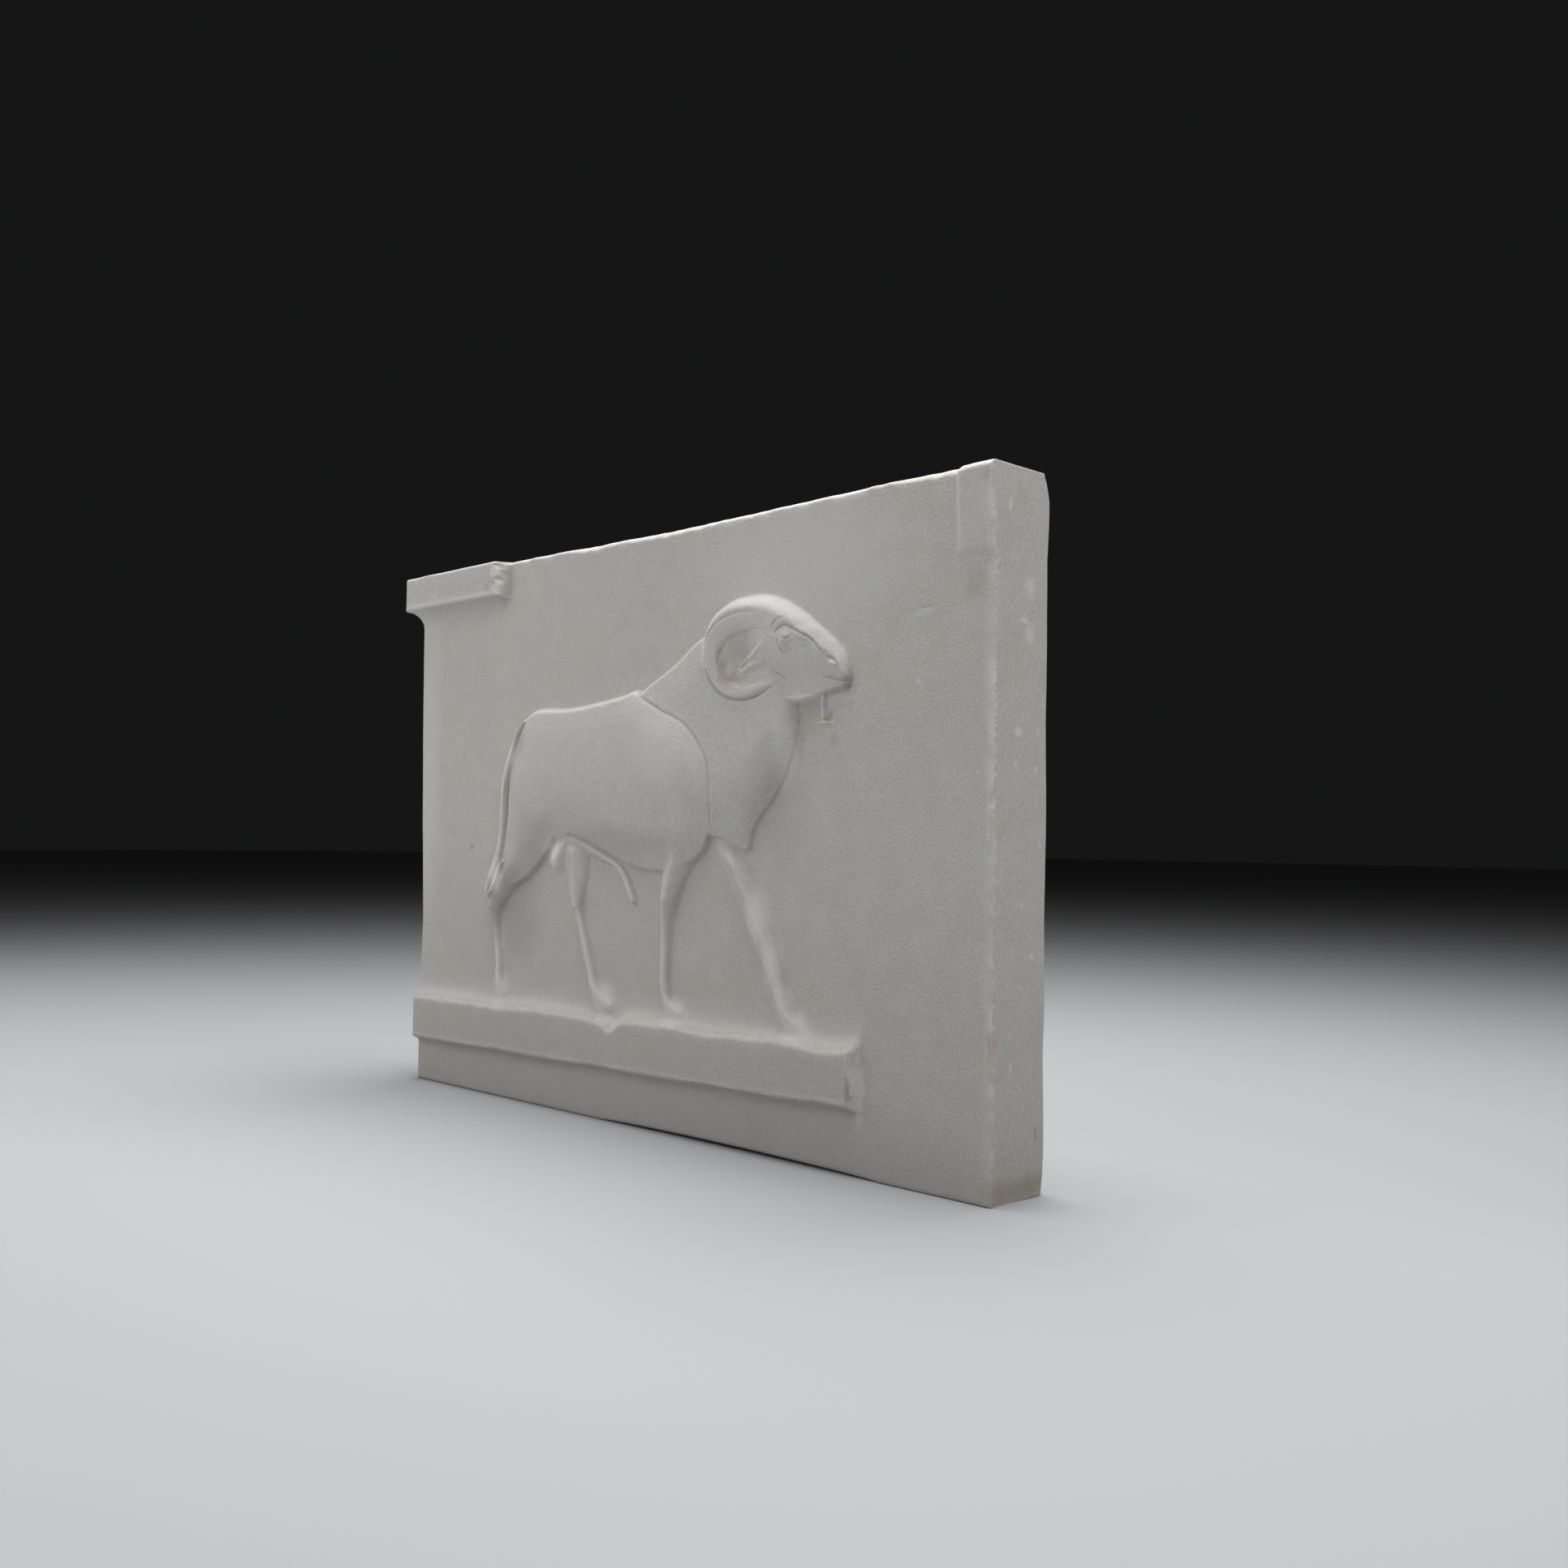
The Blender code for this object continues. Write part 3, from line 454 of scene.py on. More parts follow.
NECK = (
    (66, 76), (70, 80.9), (75, 83.4), (79.2, 85.3), (84, 87.8), (89, 91), (96, 93), (108, 93),
    (120, 84), (122.6, 75), (122.6, 69), (121.3, 64.5), (118.5, 58.5), (114.8, 53), (111, 49.3),
    (108.8, 46), (107.9, 42.6), (106, 41.8), (103.2, 43), (100, 44.2), (96, 45), (90, 46), (84, 56),
    (76, 68),
)


def depth_in_body(x, z):
    """How deep each place lies inside the body, and inside its barrel and thigh alone."""
    in_thigh = depth_in_stroke(x, z, NEAR_HIND_LEG[:4])[0]
    in_torso = np.maximum(depth_in_outline(x, z, TORSO), in_thigh)
    return np.maximum(in_torso, depth_in_outline(x, z, NECK)), in_torso


def body_relief(x, z, in_body, in_torso):
    """Barrel of the body with the neck, softer at the chest, and the shoulder that swells before the neck."""
    chest = past(x, CHEST_RAMP)
    throat = chest * past(z, THROAT_RAMP)
    up = facing(z, in_body, 0)
    share = BODY_WALL + (CHEST_WALL - BODY_WALL) * chest + (THROAT_WALL - CHEST_WALL) * throat
    share = share + BACK_WALL * softened(eased(UP_TURN * up), BACK_SOFTNESS)
    wool = chest * (THROAT_EDGE - (THROAT_EDGE + THROAT_TOP_EDGE) * past(z, THROAT_TOP_RAMP))
    crown = rounded(in_body / (BODY_EDGE + wool))
    swell = past(x, SHOULDER_RAMP) * np.exp(-((in_torso / SHOULDER_SPREAD) ** 2))
    swell = swell * rounded(in_torso / SHOULDER_EDGE) * past(z, SHOULDER_FOOT_RAMP)
    crown = softened((1 - share) * crown * BODY_RISE + SHOULDER_RISE * swell, WOOL_SOFTNESS)
    wall = rounded(in_body / wall_width(up, UNDER_WALL, UPPER_WALL))
    body = share * wall * BODY_RISE + crown * rounded(in_body / UNDER_WALL)
    return body + OUTSIDE_FALL * np.minimum(in_body, 0) - groove(x, z, SHOULDER_CREASE, CREASE_STEEPNESS)


# The tail hangs down over the edge of the haunch, a rounded cord with a cut line inside it, and ends in two
# locks of wool on the thigh.
TAIL_CUT = (2.4, 2.4, 0.85)
TAIL = (
    (20.8, 75.3, 0.9), (18.4, 72.8, 1.3), (16.4, 69.8, 1.7), (14.3, 65.4, 1.9), (12.1, 60.5, 1.5),
    (11.1, 55, 1.25), (10.9, 48, 1.25), (10.5, 44, 1.5), (9.6, 40, 1.9), (7.4, 36, 2.1), (5.7, 33, 1.9),
    (4.6, 31, 1.6), (4.2, 29.8, 1.1),
)
TAIL_LINE = (
    (22.4, 75.6, 0.1), (20.4, 74, 0.5), (18.4, 71.4, 0.6), (16.8, 68.4, 0.5), (15, 64.5, 0.35),
    (13, 59.5, 0.3), (12, 55, 0.3),
)
TAIL_SIDE_LINE = ((16.8, 71.4, 0.1), (15.3, 69.2, 0.35), (14.2, 66.8, 0.3), (13.4, 64.4, 0.1))
TAIL_LOCK_LINE = ((8.7, 39.9, 0.1), (7.1, 37.6, 0.35), (5.6, 35.3, 0.4), (4.5, 33.1, 0.4), (3.9, 31, 0.2))
TENDON = ((12.4, 37.8, 0.4), (10.7, 35.4, 1.4), (8.9, 32.6, 1.7), (7.3, 30, 1.4), (6.1, 28, 0.4))
TENDON_RISE = 1.1
TAIL_LOW_LINE = ((11.3, 42.5, 0.1), (10.7, 38.8, 0.35), (9.1, 36.2, 0.4), (7.3, 33.8, 0.4), (5.9, 31.6, 0.3))


def with_tail(x, z, ram):
    """The tail over the haunch and its tendon, with the lines cut beside it and between its locks."""
    depth, half_width = depth_in_stroke(x, z, TENDON)
    ram = ram + TENDON_RISE * rounded(depth / half_width)
    ram = joined(ram, limb(x, z, TAIL, *TAIL_CUT), CLOSE_BLEND)
    return with_lines(x, z, ram, (TAIL_LINE, TAIL_SIDE_LINE, TAIL_LOCK_LINE, TAIL_LOW_LINE))


# The head: a nearly flat plane, cut down to the face in a broad slant along the forehead and the nose, and
# upright along the jaw. The beard hangs from the chin.
HEAD_RISE = 3.5
HEAD_UNDER_WALL = 0.6
HEAD_SLANT = 2.3
RIDGE_BLEND = 0.6
JAW_RAMP = (90, -14)
JAW_FALL = 1.55
MUZZLE_RAMP = (124, 14)
MUZZLE_FALL = 0.7
HEAD = (
    (108, 98.3), (113, 98.9), (118, 98.1), (122, 96.2), (126, 93.8), (130, 91), (134.3, 88.1),
    (137.2, 85.3), (138.7, 82), (138.8, 79.1), (137.8, 77), (134.5, 76.3), (130, 75.4), (125, 74.4),
    (120, 74.6), (116, 75.8), (112, 79), (108, 84), (106, 92),
)
BEARD_CUT = (1.5, 1.5)
BEARD_STALK = ((130.4, 76, 0.8), (130.1, 73.4, 0.65), (130.2, 71, 0.7))
BEARD_FOOT = ((128.3, 69.7, 0.35), (130.3, 70, 0.65), (132.8, 69.6, 0.4))
MOUTH = ((130.4, 80, 0.15), (133.2, 79.3, 0.3), (135.9, 78.6, 0.3), (138.1, 78.1, 0.2))
LOWER_LIP = ((125.1, 76.5, 0.1), (128.5, 76.1, 0.22), (131.9, 75.8, 0.22), (136.5, 76.2, 0.2))
CHEEK = ((116.5, 81.9, 0.1), (118.9, 80.8, 0.3), (120.9, 79.2, 0.1))
NOSTRIL = ((132.8, 84, 0.2), (134.2, 83.4, 0.5), (135.2, 82.3, 0.3), (136, 81.3, 0.1))
NOSTRIL_WING = ((133.6, 82.6, 0.5), (134.6, 82.2, 0.7))
NOSTRIL_WING_RISE = 0.35
FACE_LINES_STEEP = 1.5


def head_relief(x, z, in_horn):
    """The skull with the horn's outline, its slanting upper edge, and the beard."""
    in_skull = np.maximum(depth_in_outline(x, z, HEAD), in_horn)
    width = wall_width(facing(z, in_skull, 0), HEAD_UNDER_WALL, HEAD_SLANT)
    head = HEAD_RISE * lower_of(in_skull / width, np.ones(x.shape), RIDGE_BLEND)
    head = head - MUZZLE_FALL * past(x, MUZZLE_RAMP) - JAW_FALL * past(z, JAW_RAMP)
    beard = joined(limb(x, z, BEARD_STALK, *BEARD_CUT), limb(x, z, BEARD_FOOT, *BEARD_CUT), CLOSE_BLEND)
    return joined(head, beard, CLOSE_BLEND)


def with_face_lines(x, z, ram):
    """The mouth, lip, cheek and nostril, cut into the head."""
    ram = with_lines(x, z, ram, (MOUTH, LOWER_LIP, CHEEK, NOSTRIL), FACE_LINES_STEEP)
    return ram + NOSTRIL_WING_RISE * rounded(depth_in_stroke(x, z, NOSTRIL_WING)[0] / NOSTRIL_WING[0][2])


# The curled horn, the highest carving of all: a broad band with an outer rim and a cut line inside it, which
# falls inwards to a sunk floor.
HORN_RISE = 4.1
HORN_RIM = 2.3
HORN_UNDER_WALL = 0.3
HORN_INNER_FALL = 0.75
HORN_INNER_WIDTH = 4.5
HORN_INNER_POWER = 1.5
HORN_FLOOR = 2.95
HORN_FLOOR_CLIMB = 0.45
HORN_FLOOR_STEP = 0.6
HORN_LOW_RAMP = (87, -6)
HORN_LOW_RISE = 0.6
HORN_LOW_EDGE = 0.7
HOLLOW_MARGIN = 1.5
HORN = (
    (119.5, 94.5, 2.4), (115.5, 95.2, 3.7), (112, 95.6, 4.2), (108.6, 95.7, 4.5), (105, 95.3, 4.8),
    (101.8, 94.7, 4.9), (99.2, 93.5, 4.8), (97.6, 91.4, 4.3), (96.9, 88.4, 3.5), (97.3, 85.2, 3),
    (98.8, 82, 2.4), (101.2, 79.6, 2), (105.2, 78, 1.7), (109, 77.8, 1.5), (112.5, 78.4, 1.25),
    (117, 79.4, 0.8),
)
HORN_LINE = (
    (95.4, 89.6, 0.1), (96, 91, 0.3), (97.2, 92.6, 0.35), (98.6, 93.7, 0.35), (100, 94.4, 0.35),
    (102.5, 95.2, 0.35), (104.9, 95.6, 0.35), (107.9, 95.9, 0.35), (110.8, 95.5, 0.3), (113.7, 95.3, 0.2),
    (115.7, 94.9, 0.1),
)
HOLLOW = (
    (99.5, 87), (99.9, 88.8), (101.2, 90.1), (103.5, 91), (106.5, 91.6), (109.3, 91.7), (112, 91.2),
    (113.7, 90.2), (115.3, 87), (115.8, 83), (115.5, 80.4), (112.8, 79.4), (108.8, 79), (105.4, 79.4),
    (103.3, 80.1), (101.6, 81.3), (100.3, 83), (99.6, 85),
)
HORN_UNDER_LINE = (
    (94.3, 85.6, 0.1), (95, 83, 0.25), (96.8, 80.2, 0.4), (99.4, 78, 0.45), (102.5, 76.6, 0.45),
    (105.5, 76.1, 0.45), (109, 76.1, 0.45), (112.6, 76.9, 0.4), (115, 77.8, 0.3), (117, 78.6, 0.1),
)
TEMPLE_RAMP = (107, 8)
TEMPLE_FOOT_RAMP = (83, 3)
TIP_RAMP = (110, 8)


def with_horn(x, z, ram, in_horn):
    """The horn's band round its floor; both run out into the temple and the cheek on the right."""
    in_hollow = depth_in_outline(x, z, HOLLOW)
    low_part, temple = past(z, HORN_LOW_RAMP), past(x, TEMPLE_RAMP)
    floor = HORN_FLOOR + HORN_FLOOR_CLIMB * low_part
    floor = floor + (ram - floor) * temple
    ram = np.where(in_hollow > -HOLLOW_MARGIN, np.maximum(ram, floor), ram) - groove(x, z, HORN_UNDER_LINE)
    width = wall_width(facing(z, in_horn, 0), HORN_UNDER_WALL, HORN_RIM)
    band = HORN_RISE * lower_of(in_horn / width, np.ones(x.shape), RIDGE_BLEND)
    inwards = np.clip(1 + in_hollow / HORN_INNER_WIDTH, 0, 1) ** HORN_INNER_POWER
    band = band - HORN_INNER_FALL * inwards - groove(x, z, HORN_LINE)
    low_band = BODY_RISE + HORN_LOW_RISE * rounded(in_horn / HORN_LOW_EDGE)
    band = band + (low_band - band) * low_part
    above, tip = past(z, TEMPLE_FOOT_RAMP), past(x, TIP_RAMP)
    horn = band + (ram - band) * (temple * above + tip * (1 - above))
    horn = np.where(in_horn > 0, np.maximum(horn, np.where(in_hollow > -HOLLOW_MARGIN, floor, 0)), ram)
    return horn + (floor - horn) * rounded(in_hollow / HORN_FLOOR_STEP)


# The ear lies in the horn's floor: it stands up along a ridge that runs down from the eye, sinks away to the
# cheek, and has its opening at the lower end.
EAR_RISE = 0.85
EAR_EDGE = 1.5
EAR_SPREAD = 3.0
EAR_END_RAMP = (116, -6)
EAR_FOOT_RAMP = (80.8, 3.5)
EAR = (
    (116, 91.4), (112.9, 89), (110.5, 87.2), (108.2, 85.4), (106.3, 83.4), (106.6, 82), (108.6, 81.4),
    (112, 82.4), (116, 84.6), (119, 88),
)
EAR_OPENING = ((106.8, 82.9, 0.4), (107.8, 83.4, 0.9), (108.9, 84.2, 0.7), (109.8, 85, 0.2))
EAR_OPENING_DEPTH = 0.7


def with_ear(x, z, ram):
    """The ear's ridge, which fades out under the brow, and its opening."""
    depth = depth_in_outline(x, z, EAR)
    ear = EAR_RISE * eased(depth / EAR_EDGE) * np.exp(-((np.maximum(depth, 0) / EAR_SPREAD) ** 2))
    ear = ear * past(x, EAR_END_RAMP) * past(z, EAR_FOOT_RAMP)
    return ram + ear - EAR_OPENING_DEPTH * rounded(depth_in_stroke(x, z, EAR_OPENING)[0] / EAR_OPENING[1][2])


# The eye, carved last into the flat of the head: a ball between cut lids, with a short line for the pupil,
# and the crease that runs to the nose.
EYE = (121.2, 88.4)
EYE_HALF = (2.3, 2.6)
EYE_RISE = 0.45
UPPER_LID = (
    (118, 89.5, 0.1), (118.3, 90.7, 0.28), (119.7, 91.4, 0.3), (121.3, 91.5, 0.3), (123.1, 90.8, 0.36),
    (125.7, 89.5, 0.38), (128.4, 88.1, 0.36), (130.3, 86.4, 0.3), (131.4, 85.2, 0.3), (132.6, 84.2, 0.2),
)
LOWER_LID = (
    (118.5, 89.3, 0.1), (119.2, 87, 0.25), (120.3, 85.7, 0.3), (121.6, 85.4, 0.25), (123.5, 86.3, 0.1),
)
EYE_FOLD = ((124.9, 86.7, 0.1), (126.4, 86.4, 0.22), (128.4, 86, 0.1))
PUPIL = ((120.3, 89, 0.15), (121.7, 88.6, 0.32), (123, 88.9, 0.15))
BROW = ((116.9, 90.9, 0.1), (117.1, 91.9, 0.25), (118, 92.9, 0.25), (119.6, 93.4, 0.2), (121.2, 93.3, 0.1))


def with_eye(x, z, ram):
    """The eyeball with its lids, pupil and brow cut in."""
    away = np.hypot((x - EYE[0]) / EYE_HALF[0], (z - EYE[1]) / EYE_HALF[1])
    ram = ram + EYE_RISE * rounded(1 - away)
    return with_lines(x, z, ram, (UPPER_LID, LOWER_LID, PUPIL, BROW, EYE_FOLD), FACE_LINES_STEEP)


def ram_relief(x, z):
    """Height of the whole ram above the face, in hundredths of its own height."""
    in_horn = depth_in_stroke(x, z, HORN)[0]
    in_body, in_torso = depth_in_body(x, z)
    limbs, near_legs = limbs_relief(x, z, in_body)
    ram = joined(limbs, body_relief(x, z, in_body, in_torso), BODY_BLEND)
    ram = with_tail(x, z, joined(ram, near_legs, LEG_BLEND))
    ram = joined(ram, head_relief(x, z, in_horn), CLOSE_BLEND)
    ram = with_horn(x, z, with_face_lines(x, z, ram), in_horn)
    return with_eye(x, z, with_ear(x, z, ram))


# Wear of the casting: the carved surface was rubbed soft, the slab's edges were knocked round, and the flat
# back and the sides kept the slight unevenness of poured plaster.
SOFTENING = 0.65
FACE_UNEVEN = 0.00004
FACE_UNEVEN_SIZE = 0.009

# The front edges are worn most along the top. The right one has nicks: height, half-height and how much
# deeper it is worn there.
FRONT_ARRIS = 0.0006
TOP_ARRIS = 0.0015
TOP_ARRIS_WAVE = 0.0005
TOP_ARRIS_WAVE_SIZE = 0.011
TOP_ARRIS_GRIT = (4, 0.5)
CORNICE_CRISPER = 0.55
RIGHT_ARRIS = 0.0008
NICKS = ((0.075, 0.0022, 0.0007), (0.086, 0.0007, 0.0005), (0.1385, 0.0014, 0.0008), (0.033, 0.003, 0.0003))

# Dents in the face, in millimetres: across, up, half-width, half-height, depth
FACE_DENTS = (
    (228, 56.4, 0.6, 0.6, 0.2), (212.2, 129.8, 2.8, 0.7, 0.22), (30.8, 74, 0.5, 0.5, 0.2),
    (11.5, 154.6, 1.5, 0.3, 0.2),
)
DENT_WALL = 1.6


def dents(across, up, spots):
    """Depth of shallow dents, each with a round floor, given in millimetres."""
    total = np.zeros(across.shape)
    for place_across, place_up, half_across, half_up, depth in np.array(spots) / 1000:
        away = np.hypot((across - place_across) / half_across, (up - place_up) / half_up)
        total = np.maximum(total, depth * eased(DENT_WALL * (1 - away)))
    return total


def front_wear(x, z):
    """How far the front edges are worn back at each point of the front sheet."""
    wave = TOP_ARRIS_WAVE * gritty(x, 0 * z, TOP_ARRIS_WAVE_SIZE, 31, *TOP_ARRIS_GRIT)
    top = (TOP_ARRIS + wave) * (1 - CORNICE_CRISPER * past(x, (CORNICE_LENGTH, -CORNICE_END_SLOPE)))
    right = RIGHT_ARRIS + humps(z, NICKS)
    sides = ((z[-1:] - z, top), (x[:, -1:] - x, right), (x - x[:, :1], FRONT_ARRIS), (z - z[:1], FRONT_ARRIS))
    worn = [arris * (1 - rounded(inwards / arris)) for inwards, arris in sides]
    return np.sqrt(sum(depth**2 for depth in worn))


# The ground rises softly towards the ram all round it, as it was left round the carving in the master
MOUND_REACH = 16
MOUND_SHARE = 0.26
MOUND_BLEND = 0.0004

# Marks kept on the mesh for the material, each as a share: dust with painted shade in the recesses, and
# painted shade on the lee side of the ground, away from the light; wear on handled parts, with painted
# highlights on the high edges that face up, on slants that face the light, on the ledge's shelf and on the
# right arris; and the stippled stretches.
RECESS_REACH = 3
RECESS_DEPTH = 0.0004
RAM_RAMP = (0.25, 0.25)
LEE_SHADE = 0.75
LEE_SLOPE = 0.3
LEE_SIDEWAYS = 0.6
HANDLED = 0.36
HANDLED_RAMP = (50, 16)
EDGE_HIGHLIGHT = 1.6
EDGE_HIGHLIGHT_MOST = 0.7
EDGE_RAMP = (-0.25, 0.5)
SLANT_RAMP = (0.2, 1)
SLANT_SIDEWAYS = 0.8
SLANT_ACROSS_RAMP = (106, 8)
SLANT_UP_RAMP = (80, 4)
SHELF_HIGHLIGHT = 0.6
SHELF_HEIGHT = 0.011
ARRIS_PATCHES = (0.6, 0.4)
ARRIS_PATCH_SIZE = 0.00275
LEDGE_FRONT_RAMP = (0.4, 0.5)
SANDED = 0.5
SANDED_RAMP = (0.06, 0.1)


def front_marks(x, z, ram, mound, ledge, relief):
    """The marks on the front, worked out from the surface and from the parts that it was joined from."""
    across, up = (x - RAM_FROM_LEFT) / HUNDREDTH, (z - HOOVES) / HUNDREDTH
    in_wool = eased(depth_in_outline(across, up, NECK)) * (1 - eased(depth_in_outline(across, up, TORSO)))
    stippled = np.maximum(in_wool, past(ledge / LEDGE_RISE, LEDGE_FRONT_RAMP))
    sunk = (softened(relief, RECESS_REACH) - relief) / RECESS_DEPTH
    upward, rightward = facing(z, relief, 0), facing(x, relief, 1)
    handled_and_lit = HANDLED * np.clip(ram / RAM_RISE, 0, 1) * past(up, HANDLED_RAMP)
    # Painted highlight on high convex edges that face up, where the light catches them
    handled_and_lit = handled_and_lit + np.clip(-EDGE_HIGHLIGHT * sunk * past(upward, EDGE_RAMP), 0, EDGE_HIGHLIGHT_MOST)
    # Painted highlight on the head's slants that face up or to the right, towards the lamps
    slant = past(np.maximum(upward, SLANT_SIDEWAYS * rightward), SLANT_RAMP)
    slant = slant * past(across, SLANT_ACROSS_RAMP) * past(up, SLANT_UP_RAMP)
    # Painted highlight on the ledge's hollow top, which faces up
    above = above_ledge_foot(x, z) - LEDGE_HEIGHT
    shelf = past(above, (SHELF_HEIGHT, -SHELF_HEIGHT)) * past(above, (-2 * LEDGE_ARRIS, LEDGE_ARRIS))
    shelf = SHELF_HIGHLIGHT * shelf * (x < LEDGE_LENGTH) * (1 - stippled)
    # Painted highlight in patches along the worn right arris
    patches = ARRIS_PATCHES[0] + ARRIS_PATCHES[1] * uneven(x, z, ARRIS_PATCH_SIZE, seed=33)
    on_arris = past(x, (WIDTH - 2 * RIGHT_ARRIS, RIGHT_ARRIS)) * patches
    wear_and_highlight = np.maximum(np.maximum(handled_and_lit, on_arris), np.maximum(slant, shelf))
    # Painted shade on the ground's lee side, where the mound round the ram faces down or to the right, away
    # from the lamps
    lee = LEE_SIDEWAYS * facing(x, mound, 1) - facing(z, mound, 0)
    in_ram = past(ram / RAM_RISE, RAM_RAMP)
    # Dark in the ram's recesses, partly dust and partly painted shade, and painted shade on the lee side
    dust_and_shade = np.maximum(np.clip(sunk, 0, 1) * in_ram, LEE_SHADE * eased(lee / LEE_SLOPE) * (1 - in_ram))
    stippled = np.maximum(stippled, SANDED * past(x, SANDED_RAMP))
    return {"dust_and_shade": dust_and_shade, "wear_and_highlight": wear_and_highlight, "stippled": stippled}


def front_sheet():
    """Points of the whole carved front, in metres, rows from the foot up, and the marks on them."""
    x, z = front_places()
    ram = ram_relief((x - RAM_FROM_LEFT) / HUNDREDTH, (z - HOOVES) / HUNDREDTH)
    ram = np.maximum(ram, 0) * RAM_RISE / FULL_RISE
    mound = softened(ram, MOUND_REACH)
    ram = joined(ram, MOUND_SHARE * mound, MOUND_BLEND)
    ledge = ledge_relief(x, z)
    relief = np.maximum(joined(ledge, ram, RAM_FILLET), np.maximum(cornice_relief(x, z), tab_relief(x, z)))
    relief = softened(relief, SOFTENING)
    marks = front_marks(x, z, ram, mound, ledge, relief)
    relief = relief - FACE_UNEVEN * (1 + uneven(x, z, FACE_UNEVEN_SIZE, seed=3)) * (relief < LEDGE_RISE)
    relief = relief - dents(x, z, FACE_DENTS)
    return np.stack([x, front_wear(x, z) - relief, z], axis=-1), marks


# The back edge on the right is worn unevenly, least near the top: height, then how far it is drawn in
BACK_ARRIS = 0.0004
RIGHT_BACK_WEAR = (
    (0, 0.0026), (0.004, 0.0018), (0.009, 0.0013), (0.03, 0.0016), (0.045, 0.0012), (0.06, 0.0015),
    (0.085, 0.0011), (0.105, 0.0014), (0.125, 0.0011), (0.14, 0.0012), (0.149, 0.0005), (0.154, 0.0004),
    (0.1575, 0.0014), (0.16, 0.0026),
)


def back_sheet(front):
    """Points of the flat back, drawn in from the sides by the worn back edges."""
    across, up = np.meshgrid(shares(COLUMN_MARKS), shares(ROW_MARKS))
    x, z = front[:, :, 0], front[:, :, 2]
    heights, drawn_in = np.transpose(RIGHT_BACK_WEAR)
    right_wear = np.interp(up[:, -1:] * HEIGHT, heights, drawn_in)
    back_x = x[:, :1] + BACK_ARRIS + (x[:, -1:] - x[:, :1] - right_wear - BACK_ARRIS) * across
    back_z = z[:1] + BACK_ARRIS + (z[-1:] - z[:1] - 2 * BACK_ARRIS) * up
    return np.stack([back_x, np.full(x.shape, THICKNESS), back_z], axis=-1)


def once_round(sheet):
    """The border of a sheet, once round, anticlockwise as seen from the front, back to its first point."""
    return np.concatenate((sheet[0, :-1], sheet[:-1, -1], sheet[-1, :0:-1], sheet[::-1, 0]))


# The right side, a plain poured face, keeps the pits of air bubbles, a few scrapes and a short crack near
# the foot, in millimetres: distance behind the face, height, half-width, half-height, depth.
SIDE_UNEVEN = 0.0001
SIDE_UNEVEN_SIZE = 0.008
SIDE_FADE = 8
PALE_PIT = 0.0004
MOST_PALE_PIT = 0.7
PALE_SCRAPE = 0.0001
MOST_PALE_SCRAPE = 0.6
DARK_CRACK = 0.0003
HAIR = 1e-6
SIDE_PITS = (
    (9, 102, 1.9, 1.5, 0.3), (16.1, 102.2, 0.7, 1.4, 0.18), (4.4, 96.4, 0.6, 0.6, 0.16),
    (8.2, 95, 0.8, 1.2, 0.22), (15.3, 93.9, 1, 1.2, 0.2), (16.7, 77.2, 0.8, 1.2, 0.18),
    (10.6, 64.1, 0.8, 0.8, 0.18), (14.3, 52.8, 1.2, 1.1, 0.22), (6.8, 36, 0.6, 1.2, 0.22),
    (6.9, 29, 0.6, 2.6, 0.22), (8.1, 23.8, 0.6, 0.5, 0.22), (11.4, 20.3, 0.7, 0.6, 0.25),
)
SIDE_CRACK = ((16, 13.5, 0.6, 2.4, 0.45),)
SIDE_SCRAPES = (
    (5.4, 151.3, 0.5, 2.2, 0.08), (12.4, 134.1, 0.6, 4.2, 0.08), (10.5, 126.5, 2.2, 0.7, 0.08),
    (12.8, 123.5, 0.6, 2.6, 0.08),
)


def side_belt(front, back):
    """Points of the four sides as one belt from the front's border to the back's, and the marks on them."""
    near, far = once_round(front), once_round(back)
    share = shares(DEPTH_MARKS)[:, None]
    depth = near[:, 1] + (THICKNESS - near[:, 1]) * share
    wear = np.hypot(far[:, 0] - near[:, 0], far[:, 2] - near[:, 2])
    turn = 1 - rounded((THICKNESS - depth) / np.maximum(wear, BACK_ARRIS))
    x = near[:, 0] + (far[:, 0] - near[:, 0]) * turn
    z = near[:, 2] + (far[:, 2] - near[:, 2]) * turn
    on_right = (near[:, 0] > WIDTH - HAIR) * np.clip(np.sin(np.pi * share) * SIDE_FADE, 0, 1)
    pits = dents(depth, z, SIDE_PITS) * on_right
    cracks = dents(depth, z, SIDE_CRACK) * on_right
    scrapes = dents(depth, z, SIDE_SCRAPES) * on_right
    waves = SIDE_UNEVEN * (1 + uneven(depth, z, SIDE_UNEVEN_SIZE, seed=41)) * on_right
    x = x - waves - np.maximum(np.maximum(pits, cracks), scrapes)
    wear_and_highlight = np.clip(pits / PALE_PIT, 0, MOST_PALE_PIT) + np.clip(scrapes / PALE_SCRAPE, 0, MOST_PALE_SCRAPE)
    marks = {"dust_and_shade": np.clip(cracks / DARK_CRACK, 0, 1), "wear_and_highlight": wear_and_highlight, "stippled": 0 * wear_and_highlight}
    return np.stack([x, depth, z], axis=-1), marks


# The plaque's mesh. Flat stretches of a sheet need no fine cells, so cells are merged in squares where the
# surface between their corners is straight, and no cell is more than twice as large as its neighbour.
LARGEST_MERGE = 4
SLACK = 0.000046
SAME_PLACE = 1e-7


